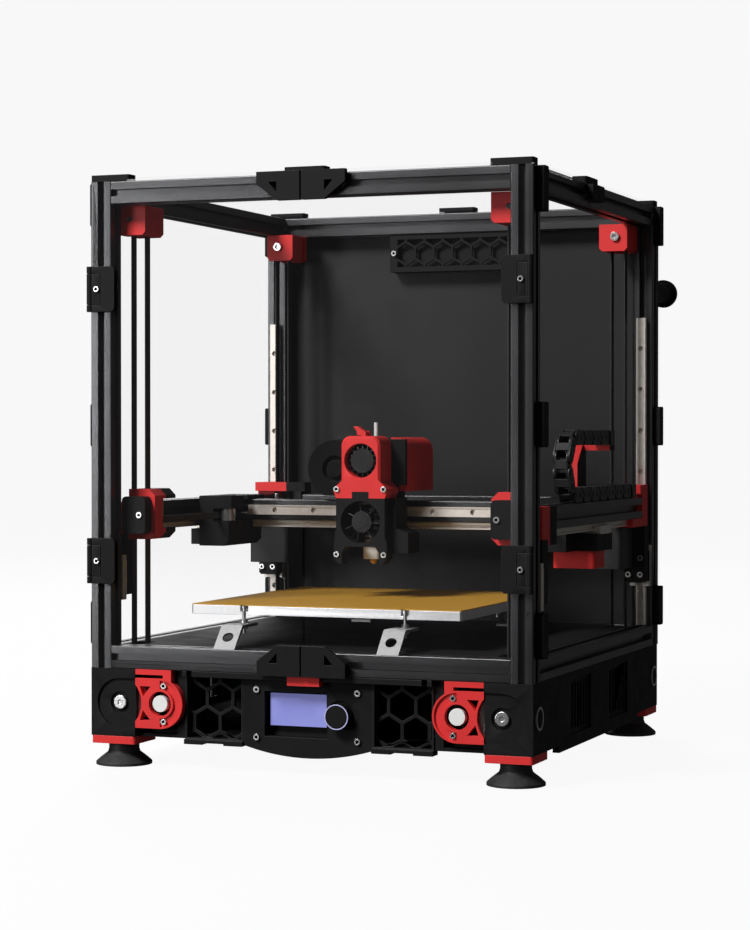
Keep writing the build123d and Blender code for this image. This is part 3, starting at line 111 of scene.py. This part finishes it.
def colour_between(tree, value, dark, light):
    """A colour that varies from dark to light with a texture."""
    ramp = tree.nodes.new("ShaderNodeValToRGB")
    ends = ((NOISE_LOW, dark), (NOISE_HIGH, light))
    for element, (position, colour) in zip(ramp.color_ramp.elements, ends):
        element.position = position
        element.color = (*colour, 1.0)
    tree.links.new(value, ramp.inputs["Fac"])
    return ramp.outputs["Color"]


def raise_surface(tree, shader, height, strength, distance, under=None):
    """Bump from a texture, on top of another bump if one is given."""
    bump = tree.nodes.new("ShaderNodeBump")
    bump.inputs["Strength"].default_value = strength
    bump.inputs["Distance"].default_value = distance
    tree.links.new(height, bump.inputs["Height"])
    if under is not None:
        tree.links.new(under, bump.inputs["Normal"])
    tree.links.new(bump.outputs["Normal"], shader.inputs["Normal"])
    return bump.outputs["Normal"]


def scaled(colour, factor):
    """A colour made lighter or darker."""
    return tuple(min(1.0, channel * factor) for channel in colour)


# ---------------------------------------------------------------- materials
def printed_plastic(name, colour, roughness=0.55, variation=0.18, shine=0.25):
    """Printed plastic: fine layer lines and a little colour and gloss variation."""
    material, tree, shader = start_material(name, roughness)
    vector = place_texture(tree)
    cloud = noise(tree, vector, 18 * MM)
    dark, light = scaled(colour, 1 - variation), scaled(colour, 1 + variation)
    tree.links.new(colour_between(tree, cloud, dark, light), shader.inputs["Base Color"])
    tree.links.new(spread(tree, cloud, roughness - 0.06, roughness + 0.08), shader.inputs["Roughness"])
    shader.inputs["Specular IOR Level"].default_value = shine
    grain = noise(tree, vector, 0.9 * MM, 2.0)
    rough = raise_surface(tree, shader, grain, 0.15, 0.02 * MM)
    raise_surface(tree, shader, bands(tree, vector, "Z", 0.4 * MM), 0.25, 0.02 * MM, rough)
    return material


def moulded_plastic(name, colour, roughness=0.35, variation=0.12):
    """Moulded plastic: faint orange-peel texture."""
    material, tree, shader = start_material(name, roughness)
    vector = place_texture(tree)
    cloud = noise(tree, vector, 25 * MM)
    dark, light = scaled(colour, 1 - variation), scaled(colour, 1 + variation)
    tree.links.new(colour_between(tree, cloud, dark, light), shader.inputs["Base Color"])
    tree.links.new(spread(tree, cloud, roughness - 0.05, roughness + 0.08), shader.inputs["Roughness"])
    shader.inputs["Specular IOR Level"].default_value = 0.25
    raise_surface(tree, shader, noise(tree, vector, 1.2 * MM), 0.06, 0.01 * MM)
    return material


def metal(name, colour, roughness, grain=1.5 * MM, variation=0.12, bump=0.1, metallic=1.0):
    """Worked metal: fine grain in its colour, its gloss and its surface."""
    material, tree, shader = start_material(name, roughness, metallic)
    speckle = noise(tree, place_texture(tree), grain, 4.0)
    dark, light = scaled(colour, 1 - variation), scaled(colour, 1 + variation)
    tree.links.new(colour_between(tree, speckle, dark, light), shader.inputs["Base Color"])
    tree.links.new(spread(tree, speckle, roughness - 0.03, roughness + 0.04), shader.inputs["Roughness"])
    raise_surface(tree, shader, speckle, bump, 0.02 * MM)
    return material


def clear_sheet(name):
    """Clear polished sheet, nearly invisible face on."""
    material, tree, shader = start_material(name, 0.08)
    shader.inputs["Alpha"].default_value = 0.018
    vector = place_texture(tree)
    cloud = noise(tree, vector, 60 * MM)
    tree.links.new(colour_between(tree, cloud, (0.1, 0.1, 0.11), (0.16, 0.16, 0.17)),
                   shader.inputs["Base Color"])
    shader.inputs["Specular IOR Level"].default_value = 0.1
    raise_surface(tree, shader, noise(tree, vector, 80 * MM), 0.02, 0.1 * MM)
    return material


def powder_sheet(name):
    """Golden spring-steel build sheet with a grainy powder coat."""
    material, tree, shader = start_material(name, 0.6, 0.1)
    speckle = noise(tree, place_texture(tree), 0.8 * MM, 5.0)
    tree.links.new(colour_between(tree, speckle, (0.42, 0.215, 0.015), (0.58, 0.305, 0.03)),
                   shader.inputs["Base Color"])
    tree.links.new(spread(tree, speckle, 0.5, 0.75), shader.inputs["Roughness"])
    raise_surface(tree, shader, speckle, 0.6, 0.12 * MM)
    return material


def rubber(name, colour=(0.016, 0.016, 0.017), roughness=0.62):
    """Dull rubber with uneven dust on it."""
    material, tree, shader = start_material(name, roughness)
    vector = place_texture(tree)
    dust = noise(tree, vector, 6 * MM, 5.0)
    tree.links.new(colour_between(tree, dust, scaled(colour, 0.8), scaled(colour, 1.5)),
                   shader.inputs["Base Color"])
    tree.links.new(spread(tree, dust, roughness - 0.08, roughness + 0.12), shader.inputs["Roughness"])
    raise_surface(tree, shader, noise(tree, vector, 0.7 * MM), 0.3, 0.05 * MM)
    return material


def lit_screen(name):
    """Back-lit display: even glow, slightly uneven at the edges, with a fine dot grid."""
    material, tree, shader = start_material(name, 0.25)
    vector = place_texture(tree)
    glow = noise(tree, vector, 40 * MM)
    colour = colour_between(tree, glow, (0.19, 0.20, 0.52), (0.25, 0.265, 0.62))
    tree.links.new(colour, shader.inputs["Base Color"])
    tree.links.new(colour, shader.inputs["Emission Color"])
    shader.inputs["Emission Strength"].default_value = 0.3
    dots = raise_surface(tree, shader, bands(tree, vector, "X", 0.5 * MM), 0.1, 0.02 * MM)
    raise_surface(tree, shader, bands(tree, vector, "Z", 0.5 * MM), 0.1, 0.02 * MM, dots)
    return material


FINISH = {
    "black_profile": metal("black_profile", (0.08, 0.08, 0.083), 0.34, 60 * MM, 0.05, 0.0),
    "black_print": printed_plastic("black_print", (0.0075, 0.0075, 0.008), 0.6, 0.18, 0.13),
    # The lighter, glossier copy of black_print on the next line colours the rounded edges: a painted
    # highlight.
    "black_edge_highlight": printed_plastic("black_edge_highlight", (0.022, 0.022, 0.023), 0.5, 0.18, 0.2),
    "red_print": printed_plastic("red_print", (0.7, 0.03, 0.03), 0.5, 0.06),
    # The lighter, glossier copy of red_print on the next line colours the rounded edges: a painted
    # highlight.
    "red_edge_highlight": printed_plastic("red_edge_highlight", (0.8, 0.07, 0.065), 0.42, 0.05),
    "black_sheet": moulded_plastic("black_sheet", (0.0105, 0.0105, 0.011), 0.5, 0.02),
    "clear_sheet": clear_sheet("clear_sheet"),
    "bare_aluminium": metal("bare_aluminium", (0.8, 0.8, 0.81), 0.42, 3 * MM, 0.05, 0.04),
    "gold_sheet": powder_sheet("gold_sheet"),
    "steel_rail": metal("steel_rail", (0.72, 0.67, 0.61), 0.42, 3 * MM, 0.05, 0.05, 0.65),
    "bright_steel": metal("bright_steel", (0.62, 0.62, 0.62), 0.3, grain=0.8 * MM),
    "dull_aluminium": metal("dull_aluminium", (0.36, 0.36, 0.36), 0.45, 3 * MM, 0.05, 0.04),
    "motor_black": metal("motor_black", (0.014, 0.014, 0.015), 0.5, metallic=0.1),
    "belt_rubber": rubber("belt_rubber", (0.01, 0.01, 0.01)),
    "foot_rubber": rubber("foot_rubber"),
    "screen": lit_screen("screen"),
    "fan_plastic": moulded_plastic("fan_plastic", (0.014, 0.014, 0.015), 0.3),
    "white_tube": moulded_plastic("white_tube", (0.82, 0.82, 0.8), 0.3, 0.04),
    "hotend_metal": metal("hotend_metal", (0.7, 0.7, 0.7), 0.35),
    "circuit": moulded_plastic("circuit", (0.02, 0.1, 0.05), 0.5),
    "chain_plastic": moulded_plastic("chain_plastic", (0.02, 0.02, 0.0215), 0.4),
    "white_plastic": moulded_plastic("white_plastic", (0.8, 0.8, 0.79), 0.4, 0.04),
    "brass": metal("brass", (0.75, 0.45, 0.14), 0.3),
    "knob_ring": moulded_plastic("knob_ring", (0.45, 0.45, 0.72), 0.4, 0.04),
    # The near-black finish on the next line is the own colour of the heating mat and the screen's sides,
    # and painted shade inside screw sockets and on the deck.
    "black_and_painted_shade": moulded_plastic("black_and_painted_shade", (0.003, 0.003, 0.003), 0.7),
}
SLOT_OF = {part["node"]: part["material_slot"] for part in frame["record"]["subparts"]}


# ---------------------------------------------------------------- pieces
# Each printed finish has a lighter copy for the rounded edges: a painted highlight along every edge.
EDGE_HIGHLIGHT_OF = {"black_print": "black_edge_highlight", "red_print": "red_edge_highlight"}
SAME_POINT = 0.002 * MM
FLAT = radians(0.6)
SHARP = radians(32)


def new_piece(name, build, finishes, rounding):
    """A mesh object from a bmesh, smooth with sharp edges rounded by `rounding`."""
    for face in build.faces:
        face.smooth = True
    mesh = bpy.data.meshes.new(name)
    build.to_mesh(mesh)
    build.free()
    for finish in finishes:
        mesh.materials.append(FINISH[finish])
    mesh.set_sharp_from_angle(angle=SHARP)
    piece = bpy.data.objects.new(name, mesh)
    bpy.context.scene.collection.objects.link(piece)
    bevel = piece.modifiers.new("rounded_edges", "BEVEL")
    bevel.width = rounding
    bevel.segments = 2
    bevel.limit_method = "ANGLE"
    bevel.angle_limit = SHARP
    bevel.use_clamp_overlap = True
    bevel.harden_normals = True
    return piece


def remake(node, paint=None, finishes=None, cuts=()):
    """Stand-in for a CAD node: the same shape with rounded edges.

    paint gives a finish name for a face, and finishes lists the names it may give.
    cuts holds planes, each a point and a normal, where a face may change its finish.
    """
    slot = SLOT_OF[node]
    names = finishes or [slot]
    build = bmesh.new()
    build.from_mesh(NODES[node].data)
    bmesh.ops.remove_doubles(build, verts=build.verts, dist=SAME_POINT)
    bmesh.ops.dissolve_limit(build, angle_limit=FLAT, verts=build.verts, edges=build.edges)
    for point, normal in cuts:
        everything = build.verts[:] + build.edges[:] + build.faces[:]
        bmesh.ops.bisect_plane(build, geom=everything, plane_co=point, plane_no=normal)
    for face in build.faces:
        face.material_index = names.index(paint(face)) if paint else 0
    piece = new_piece(node + "_look", build, names, 0.4 * MM)
    # Unpainted prints take the lighter copy of their finish on the rounded edges, a painted highlight.
    if slot in EDGE_HIGHLIGHT_OF and not paint:
        piece.data.materials.append(FINISH[EDGE_HIGHLIGHT_OF[slot]])
        piece.modifiers["rounded_edges"].material = len(piece.data.materials) - 1
    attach(piece, BODY_OF[node])
    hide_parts(node)


# ---------------------------------------------------------------- where a finish ends
# A face takes its finish from where its middle is. The margin keeps a face that lies in the
# plane itself on the near side of it.
BORDER_MARGIN = 0.05 * MM
SOCKET_AREA = 22 * MM * MM
# Lifting drives, distances from the middle of the printer to its front and back.
MOTOR_HUB_Y = 197 * MM
SHAFT_WHEEL_Y = (189 * MM, 197.5 * MM)
# Toolhead.
NOZZLE_TOP_Z = 177.9 * MM
SOCK_TOP_Z = 189.1 * MM
POD_TOP_Z = 189 * MM
TOOL_FACE_Y = -50 * MM
# Display.
GLASS_FACE_Y = -192.8 * MM
KNOB_FACE_Y = -208.9 * MM
KNOB_AXIS = (31 * MM, 0.0, 53 * MM)
KNOB_RING_INSIDE = 9.5 * MM
# Gantry. A wheel's faces lie within its radius of its axis and between its two levels.
FRAME_CUT_X = 168.5 * MM
FRAME_STEP_Z = 212.2 * MM
MOTOR_WHEEL_Z = 207.1 * MM
IDLER_COVER_Y = -186 * MM
IDLER_CUT_Y = -151 * MM
IDLER_AXIS = (172.9 * MM, -146 * MM, 0.0)
IDLER_WHEEL = {"radius": 9.2 * MM, "low": 210.2 * MM, "high": 235.8 * MM}
BEAM_WHEEL_AXIS = (155.5 * MM, -22 * MM, 0.0)
BEAM_WHEEL = {"radius": 7.2 * MM, "low": 211.7 * MM, "high": 223.3 * MM}
CARRIAGE_X = 182.9 * MM
CARRIAGE_Z = 203 * MM
# Lifting joints, wheels at the top and the bed.
JOINT_INNER_Y = 160 * MM
JOINT_OUTER_Y = 175 * MM
UPPER_WHEEL_AXIS = (177.4 * MM, 0.0, 485 * MM)
UPPER_WHEEL_RADIUS = 8.7 * MM
PLATE_UNDERSIDE_Z = 134 * MM


def off_axis(vertex, axis, place):
    """Distance from the axis (0, 1 or 2 for X, Y or Z) through `place`."""
    return hypot(*(vertex.co[index] - place[index] for index in range(3) if index != axis))


def inside(face, axis, place, radius):
    """True if the whole face lies within `radius` of an axis, given for the right-hand side."""
    side = 1 if face.calc_center_median().x > 0 else -1
    mirrored = (side * place[0], place[1], place[2])
    return max(off_axis(vertex, axis, mirrored) for vertex in face.verts) < radius


def socket_floor(face):
    """True for the small hexagon at the bottom of a screw's socket."""
    return len(face.verts) == 6 and face.calc_area() < SOCKET_AREA


def socket_face(face):
    """True for the floor of a hexagonal socket and for the six walls round it."""
    if socket_floor(face):
        return True
    if len(face.verts) != 4:
        return False
    return any(socket_floor(near) for edge in face.edges for near in edge.link_faces)


# ---------------------------------------------------------------- finishes within a node
def paint_screws(face):
    """Steel screw; the inside of its socket is painted near-black, as painted shade in the recess."""
    return "black_and_painted_shade" if socket_face(face) else "bright_steel"


def paint_motor(face):
    """White hub of the motor's wheel, black motor."""
    return "white_plastic" if abs(face.calc_center_median().y) > MOTOR_HUB_Y else "motor_black"


def paint_shaft(face):
    """White wheel on a steel shaft."""
    low, high = SHAFT_WHEEL_Y
    return "white_plastic" if low < abs(face.calc_center_median().y) < high else "bright_steel"


def paint_hotend(face):
    """Brass nozzle, white sock, bare heat sink."""
    height = face.calc_center_median().z
    if height < NOZZLE_TOP_Z:
        return "brass"
    return "white_plastic" if height < SOCK_TOP_Z else "hotend_metal"


def paint_pod(face):
    """Red pod under the beam, black bracket above it with a red front."""
    front = face.normal.y < -0.5
    return "red_print" if front or face.calc_center_median().z < POD_TOP_Z else "black_print"


def paint_screen(face):
    """Only the front of the glass glows."""
    return "screen" if face.calc_center_median().y < GLASS_FACE_Y else "black_and_painted_shade"


def paint_knob(face):
    """Pale ring round the front of the knob."""
    nearest = min(off_axis(vertex, 1, KNOB_AXIS) for vertex in face.verts)
    front = face.calc_center_median().y < KNOB_FACE_Y
    return "knob_ring" if front and nearest > KNOB_RING_INSIDE else "black_print"


def paint_cover(colour, depth):
    """A printed cover, with the heads of its screws in front of the face at `depth`."""
    def paint(face):
        if face.calc_center_median().y > depth - BORDER_MARGIN:
            return colour
        return paint_screws(face)
    return paint


def paint_lifting_joint(face):
    """Black block, steel screw heads on its inner face and the steel carriage behind it."""
    depth = abs(face.calc_center_median().y)
    if depth < JOINT_INNER_Y - BORDER_MARGIN:
        return paint_screws(face)
    return "steel_rail" if depth > JOINT_OUTER_Y + BORDER_MARGIN else "black_print"


def on_wheel(face, axis_place, wheel):
    """True for the faces of an upright wheel, given for the right-hand side."""
    between = wheel["low"] < face.calc_center_median().z < wheel["high"]
    return between and inside(face, 2, axis_place, wheel["radius"])


def paint_front_idler(face):
    """Red front, black back round the steel wheel."""
    if on_wheel(face, IDLER_AXIS, IDLER_WHEEL):
        return "bright_steel"
    return "black_print" if face.calc_center_median().y > IDLER_CUT_Y else "red_print"


def paint_beam_joint(face):
    """Black joint with its steel belt wheel and the steel carriage under the side profile."""
    middle = face.calc_center_median()
    if on_wheel(face, BEAM_WHEEL_AXIS, BEAM_WHEEL):
        return "bright_steel"
    on_rail = abs(middle.x) > CARRIAGE_X and middle.z > CARRIAGE_Z + BORDER_MARGIN
    return "steel_rail" if on_rail else "black_print"


def paint_upper_idler(face):
    """Red block with a steel wheel on a steel pin."""
    return "bright_steel" if inside(face, 1, UPPER_WHEEL_AXIS, UPPER_WHEEL_RADIUS) else "red_print"


def paint_gantry_motor(face):
    """Steel belt wheel on a black motor."""
    return "bright_steel" if face.calc_center_median().z > MOTOR_WHEEL_Z else "motor_black"


def paint_bed(face):
    """Bare plate with a dark heating mat under it."""
    under = face.calc_center_median().z < PLATE_UNDERSIDE_Z - BORDER_MARGIN
    return "black_and_painted_shade" if under else "bare_aluminium"


def paint_drive_frame(face):
    """Red frame; the inboard part over the motor is black."""
    middle = face.calc_center_median()
    inboard = abs(middle.x) < FRAME_CUT_X and middle.z > FRAME_STEP_Z
    return "black_print" if inboard else "red_print"


def plain(finish):
    """One finish for every face."""
    return (lambda face: finish), [finish]


SCREWED_BLACK = ["black_print", "bright_steel", "black_and_painted_shade"]
SCREWED_RED = ["red_print", "bright_steel", "black_and_painted_shade"]
CUTS = {
    "ab_drive_frames": [((side * FRAME_CUT_X, 0, 0), (1, 0, 0)) for side in (-1, 1)],
    "front_idlers": [((0, IDLER_CUT_Y, 0), (0, 1, 0))],
}
PAINTED = {
    "fasteners": (paint_screws, ["bright_steel", "black_and_painted_shade"]),
    "z_motors": (paint_motor, ["motor_black", "white_plastic"]),
    "hotend": (paint_hotend, ["hotend_metal", "white_plastic", "brass"]),
    "endstop_pod": (paint_pod, ["red_print", "black_print"]),
    "display_screen": (paint_screen, ["screen", "black_and_painted_shade"]),
    "display_knob": (paint_knob, ["black_print", "knob_ring"]),
    "toolhead_hood": (paint_cover("red_print", TOOL_FACE_Y), SCREWED_RED),
    "fan_shroud": (paint_cover("black_print", TOOL_FACE_Y), SCREWED_BLACK),
    "front_idler_covers": (paint_cover("black_print", IDLER_COVER_Y), SCREWED_BLACK),
    "ab_drive_frames": (paint_drive_frame, ["red_print", "black_print"]),
    "z_joints": (paint_lifting_joint, SCREWED_BLACK + ["steel_rail"]),
    "front_idlers": (paint_front_idler, ["red_print", "black_print", "bright_steel"]),
    "xy_joints": (paint_beam_joint, ["black_print", "bright_steel", "steel_rail"]),
    "z_idlers": (paint_upper_idler, ["red_print", "bright_steel"]),
    "ab_motors": (paint_gantry_motor, ["motor_black", "bright_steel"]),
    "bed_plate": (paint_bed, ["bare_aluminium", "black_and_painted_shade"]),
    # The deck takes the near-black finish, darker than the rear panel's sheet: painted shade.
    "deck_panels": plain("black_and_painted_shade"),
    "bed_brackets": plain("dull_aluminium"),
}
for corner in ("front_left", "front_right", "rear_left", "rear_right"):
    PAINTED["z_shaft_" + corner] = (paint_shaft, ["bright_steel", "white_plastic"])


# ---------------------------------------------------------------- outlines and prisms
def prism(build, outline, origin, u, v, w, start, end):
    """Extrude a flat outline, drawn along u and v at the origin, from start to end along w."""
    near = [build.verts.new(origin + u * a + v * b + w * start) for a, b in outline]
    far = [build.verts.new(origin + u * a + v * b + w * end) for a, b in outline]
    build.faces.new(near)
    build.faces.new(far)
    count = len(outline)
    for index in range(count):
        after = (index + 1) % count
        build.faces.new((near[index], near[after], far[after], far[index]))


def stadium(reach, radius, steps=8):
    """Outline with two round ends whose centres are `reach` from the middle."""
    points = []
    for side, first in ((1, -pi / 2), (-1, pi / 2)):
        for step in range(steps + 1):
            turn = first + pi * step / steps
            points.append((side * reach + radius * cos(turn), radius * sin(turn)))
    return points


def disc(radius, steps=20):
    """Outline of a circle."""
    return [(radius * cos(tau * k / steps), radius * sin(tau * k / steps)) for k in range(steps)]


def rectangle(a0, a1, b0, b1):
    """Outline of a rectangle."""
    return [(a0, b0), (a1, b0), (a1, b1), (a0, b1)]


# ---------------------------------------------------------------- cable chain
# It starts at the first of CHAIN_ENDS on the lower run, turns round at CHAIN_BEND_Y and ends at
# the second on the upper run. CHAIN_X and CHAIN_Z are its outer sides, over both runs.
CHAIN_X = (185.2 * MM, 201.5 * MM)
CHAIN_Z = (233.05 * MM, 298 * MM)
CHAIN_HEIGHT = 14 * MM
CHAIN_RADIUS = (CHAIN_Z[1] - CHAIN_Z[0] - CHAIN_HEIGHT) / 2
CHAIN_BEND_Y = -55 * MM
CHAIN_ENDS = (140 * MM, 62 * MM)
CHAIN_LINKS = 29
LINK_CLEARANCE = 0.3 * MM
END_CLEARANCE = 0.2 * MM
PLATE_INSET = 0.5 * MM
INNER_PLATE_STEP = 1.6 * MM
PLATE_THICK = 1.5 * MM
PIN_RADIUS = 2.4 * MM
BAR_THICK = 1.6 * MM
BAR_INSET = 2 * MM
BAR_SHARE = 0.28


def chain_path(travelled):
    """Point and direction along the middle of the chain, from its fixed end."""
    middle = (CHAIN_Z[1] + CHAIN_Z[0]) / 2
    lower = CHAIN_ENDS[0] - CHAIN_BEND_Y
    if travelled < lower:
        return Vector((0, CHAIN_ENDS[0] - travelled, middle - CHAIN_RADIUS)), Vector((0, -1, 0))
    turn = (travelled - lower) / CHAIN_RADIUS
    if turn < pi:
        outward = Vector((0, -sin(turn), -cos(turn)))
        bend_centre = Vector((0, CHAIN_BEND_Y, middle))
        return bend_centre + outward * CHAIN_RADIUS, Vector((0, -cos(turn), sin(turn)))
    past_bend = travelled - lower - pi * CHAIN_RADIUS
    return Vector((0, CHAIN_BEND_Y + past_bend, middle + CHAIN_RADIUS)), Vector((0, 1, 0))


def make_cable_chain():
    """Links of the cable chain: side plates that overlap by turns, crossbars and pins."""
    length = CHAIN_ENDS[0] + CHAIN_ENDS[1] - 2 * CHAIN_BEND_Y + pi * CHAIN_RADIUS
    pitch = length / CHAIN_LINKS
    half = CHAIN_HEIGHT / 2 - LINK_CLEARANCE
    across = Vector((1, 0, 0))
    build = bmesh.new()
    for index in range(CHAIN_LINKS):
        middle, along = chain_path((index + 0.5) * pitch)
        up = across.cross(along)
        inset = PLATE_INSET + (INNER_PLATE_STEP if index % 2 else 0.0)
        if 0 < index < CHAIN_LINKS - 1:
            outline = stadium(pitch / 2 - END_CLEARANCE, half)
        else:
            outline = rectangle(-pitch / 2, pitch / 2, -half, half)
        for edge, way in ((CHAIN_X[0], 1), (CHAIN_X[1], -1)):
            origin = Vector((edge + way * inset, 0, 0)) + middle
            prism(build, outline, origin, along, up, across * way, 0.0, PLATE_THICK)
            pin = origin + along * (pitch / 2)
            if index < CHAIN_LINKS - 1:
                prism(build, disc(PIN_RADIUS), pin, along, up, across * way, -inset, 0.0)
        for height in (-half, half - BAR_THICK):
            bar = rectangle(-pitch * BAR_SHARE, pitch * BAR_SHARE, height, height + BAR_THICK)
            origin = middle + Vector((CHAIN_X[0], 0, 0))
            bar_end = CHAIN_X[1] - CHAIN_X[0] - BAR_INSET
            prism(build, bar, origin, along, up, across, BAR_INSET, bar_end)
    bmesh.ops.recalc_face_normals(build, faces=build.faces)
    chain = new_piece("cable_chain_links", build, ["chain_plastic"], 0.3 * MM)
    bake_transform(chain)
    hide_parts("cable_chain")


def make_printer():
    """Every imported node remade, with the cable chain made link by link."""
    for node in SLOT_OF:
        if node != "cable_chain":
            paint, finishes = PAINTED.get(node, (None, None))
            remake(node, paint, finishes, CUTS.get(node, ()))
    make_cable_chain()


# ---------------------------------------------------------------- stage, camera and light
LIGHT_AIM = Vector((0, 0, 0.25))


def make_stage():
    """Pale floor that curves up into a wall all round."""
    floor_radius, bend, wall, bend_steps = 7.0, 2.0, 6.0, 8
    profile = [(0.0, 0.0), (floor_radius - bend, 0.0)]
    for step in range(1, bend_steps + 1):
        turn = step / bend_steps * pi / 2
        profile.append((floor_radius - bend + bend * sin(turn), bend - bend * cos(turn)))
    profile.append((floor_radius, wall))
    around = 96
    points, faces = [], []
    for index in range(around):
        turn = tau * index / around
        points += [(r * cos(turn), r * sin(turn), z) for r, z in profile]
    count = len(profile)
    for index in range(around):
        following = (index + 1) % around
        for row in range(count - 1):
            a, b = index * count + row, following * count + row
            faces.append((a, b, b + 1, a + 1))
    mesh = bpy.data.meshes.new("studio_floor")
    mesh.from_pydata(points, [], faces)
    mesh.shade_smooth()
    floor = bpy.data.objects.new("studio_floor", mesh)
    bpy.context.scene.collection.objects.link(floor)
    material, tree, shader = start_material("studio_paper", 0.9)
    vector = place_texture(tree)
    cloud = noise(tree, vector, 1.5)
    paper = colour_between(tree, cloud, (0.01, 0.01, 0.01), (0.012, 0.012, 0.012))
    tree.links.new(paper, shader.inputs["Base Color"])
    glow = colour_between(tree, cloud, (0.93, 0.93, 0.93), (0.935, 0.935, 0.935))
    tree.links.new(glow, shader.inputs["Emission Color"])
    shader.inputs["Emission Strength"].default_value = 1.0
    mesh.materials.append(material)
    floor.visible_diffuse = False
    floor.visible_glossy = False


def area_light(name, place, size, power):
    """A rectangular lamp aimed at the middle of the printer."""
    light = bpy.data.lights.new(name, "AREA")
    light.shape = "RECTANGLE"
    light.size, light.size_y = size
    light.energy = power
    lamp = bpy.data.objects.new(name, light)
    lamp.location = place
    lamp.rotation_euler = (LIGHT_AIM - Vector(place)).to_track_quat("-Z", "Y").to_euler()
    bpy.context.scene.collection.objects.link(lamp)


def make_light():
    """Soft key light from the front left, a low strip beside it, a weak fill and a back light."""
    world = bpy.data.worlds.new("studio")
    world.use_nodes = True
    background = world.node_tree.nodes["Background"]
    background.inputs["Color"].default_value = (1.0, 1.0, 1.0, 1.0)
    background.inputs["Strength"].default_value = 0.06
    bpy.context.scene.world = world
    bpy.context.scene.view_settings.view_transform = "Standard"
    area_light("key", (-1.25, -2.35, 2.55), (1.0, 1.0), 140)
    area_light("strip", (-1.9, -2.75, 0.45), (0.75, 1.2), 24)
    area_light("fill", (2.6, -1.6, 0.9), (1.2, 1.6), 2)
    area_light("back", (-1.6, 2.8, 1.5), (1.4, 1.4), 22)


CAMERA_AZIMUTH = radians(21.12)
CAMERA_HEIGHT_ANGLE = radians(0.73)
CAMERA_DISTANCE = 2.2343
CAMERA_AIM = Vector((-0.0142, 0.0, 0.2651))
LENS = 92.13


def make_camera():
    """Camera at the photograph's angle, distance and field of view."""
    flat = cos(CAMERA_HEIGHT_ANGLE)
    direction = Vector((sin(CAMERA_AZIMUTH) * flat, -cos(CAMERA_AZIMUTH) * flat,
                        sin(CAMERA_HEIGHT_ANGLE)))
    data = bpy.data.cameras.new("camera")
    data.sensor_width = 36.0
    data.lens = LENS
    data.clip_end = 50.0
    camera = bpy.data.objects.new("camera", data)
    camera.location = CAMERA_AIM + direction * CAMERA_DISTANCE
    camera.rotation_euler = (-direction).to_track_quat("-Z", "Y").to_euler()
    bpy.context.scene.collection.objects.link(camera)
    bpy.context.scene.camera = camera


make_printer()
make_stage()
make_light()
make_camera()
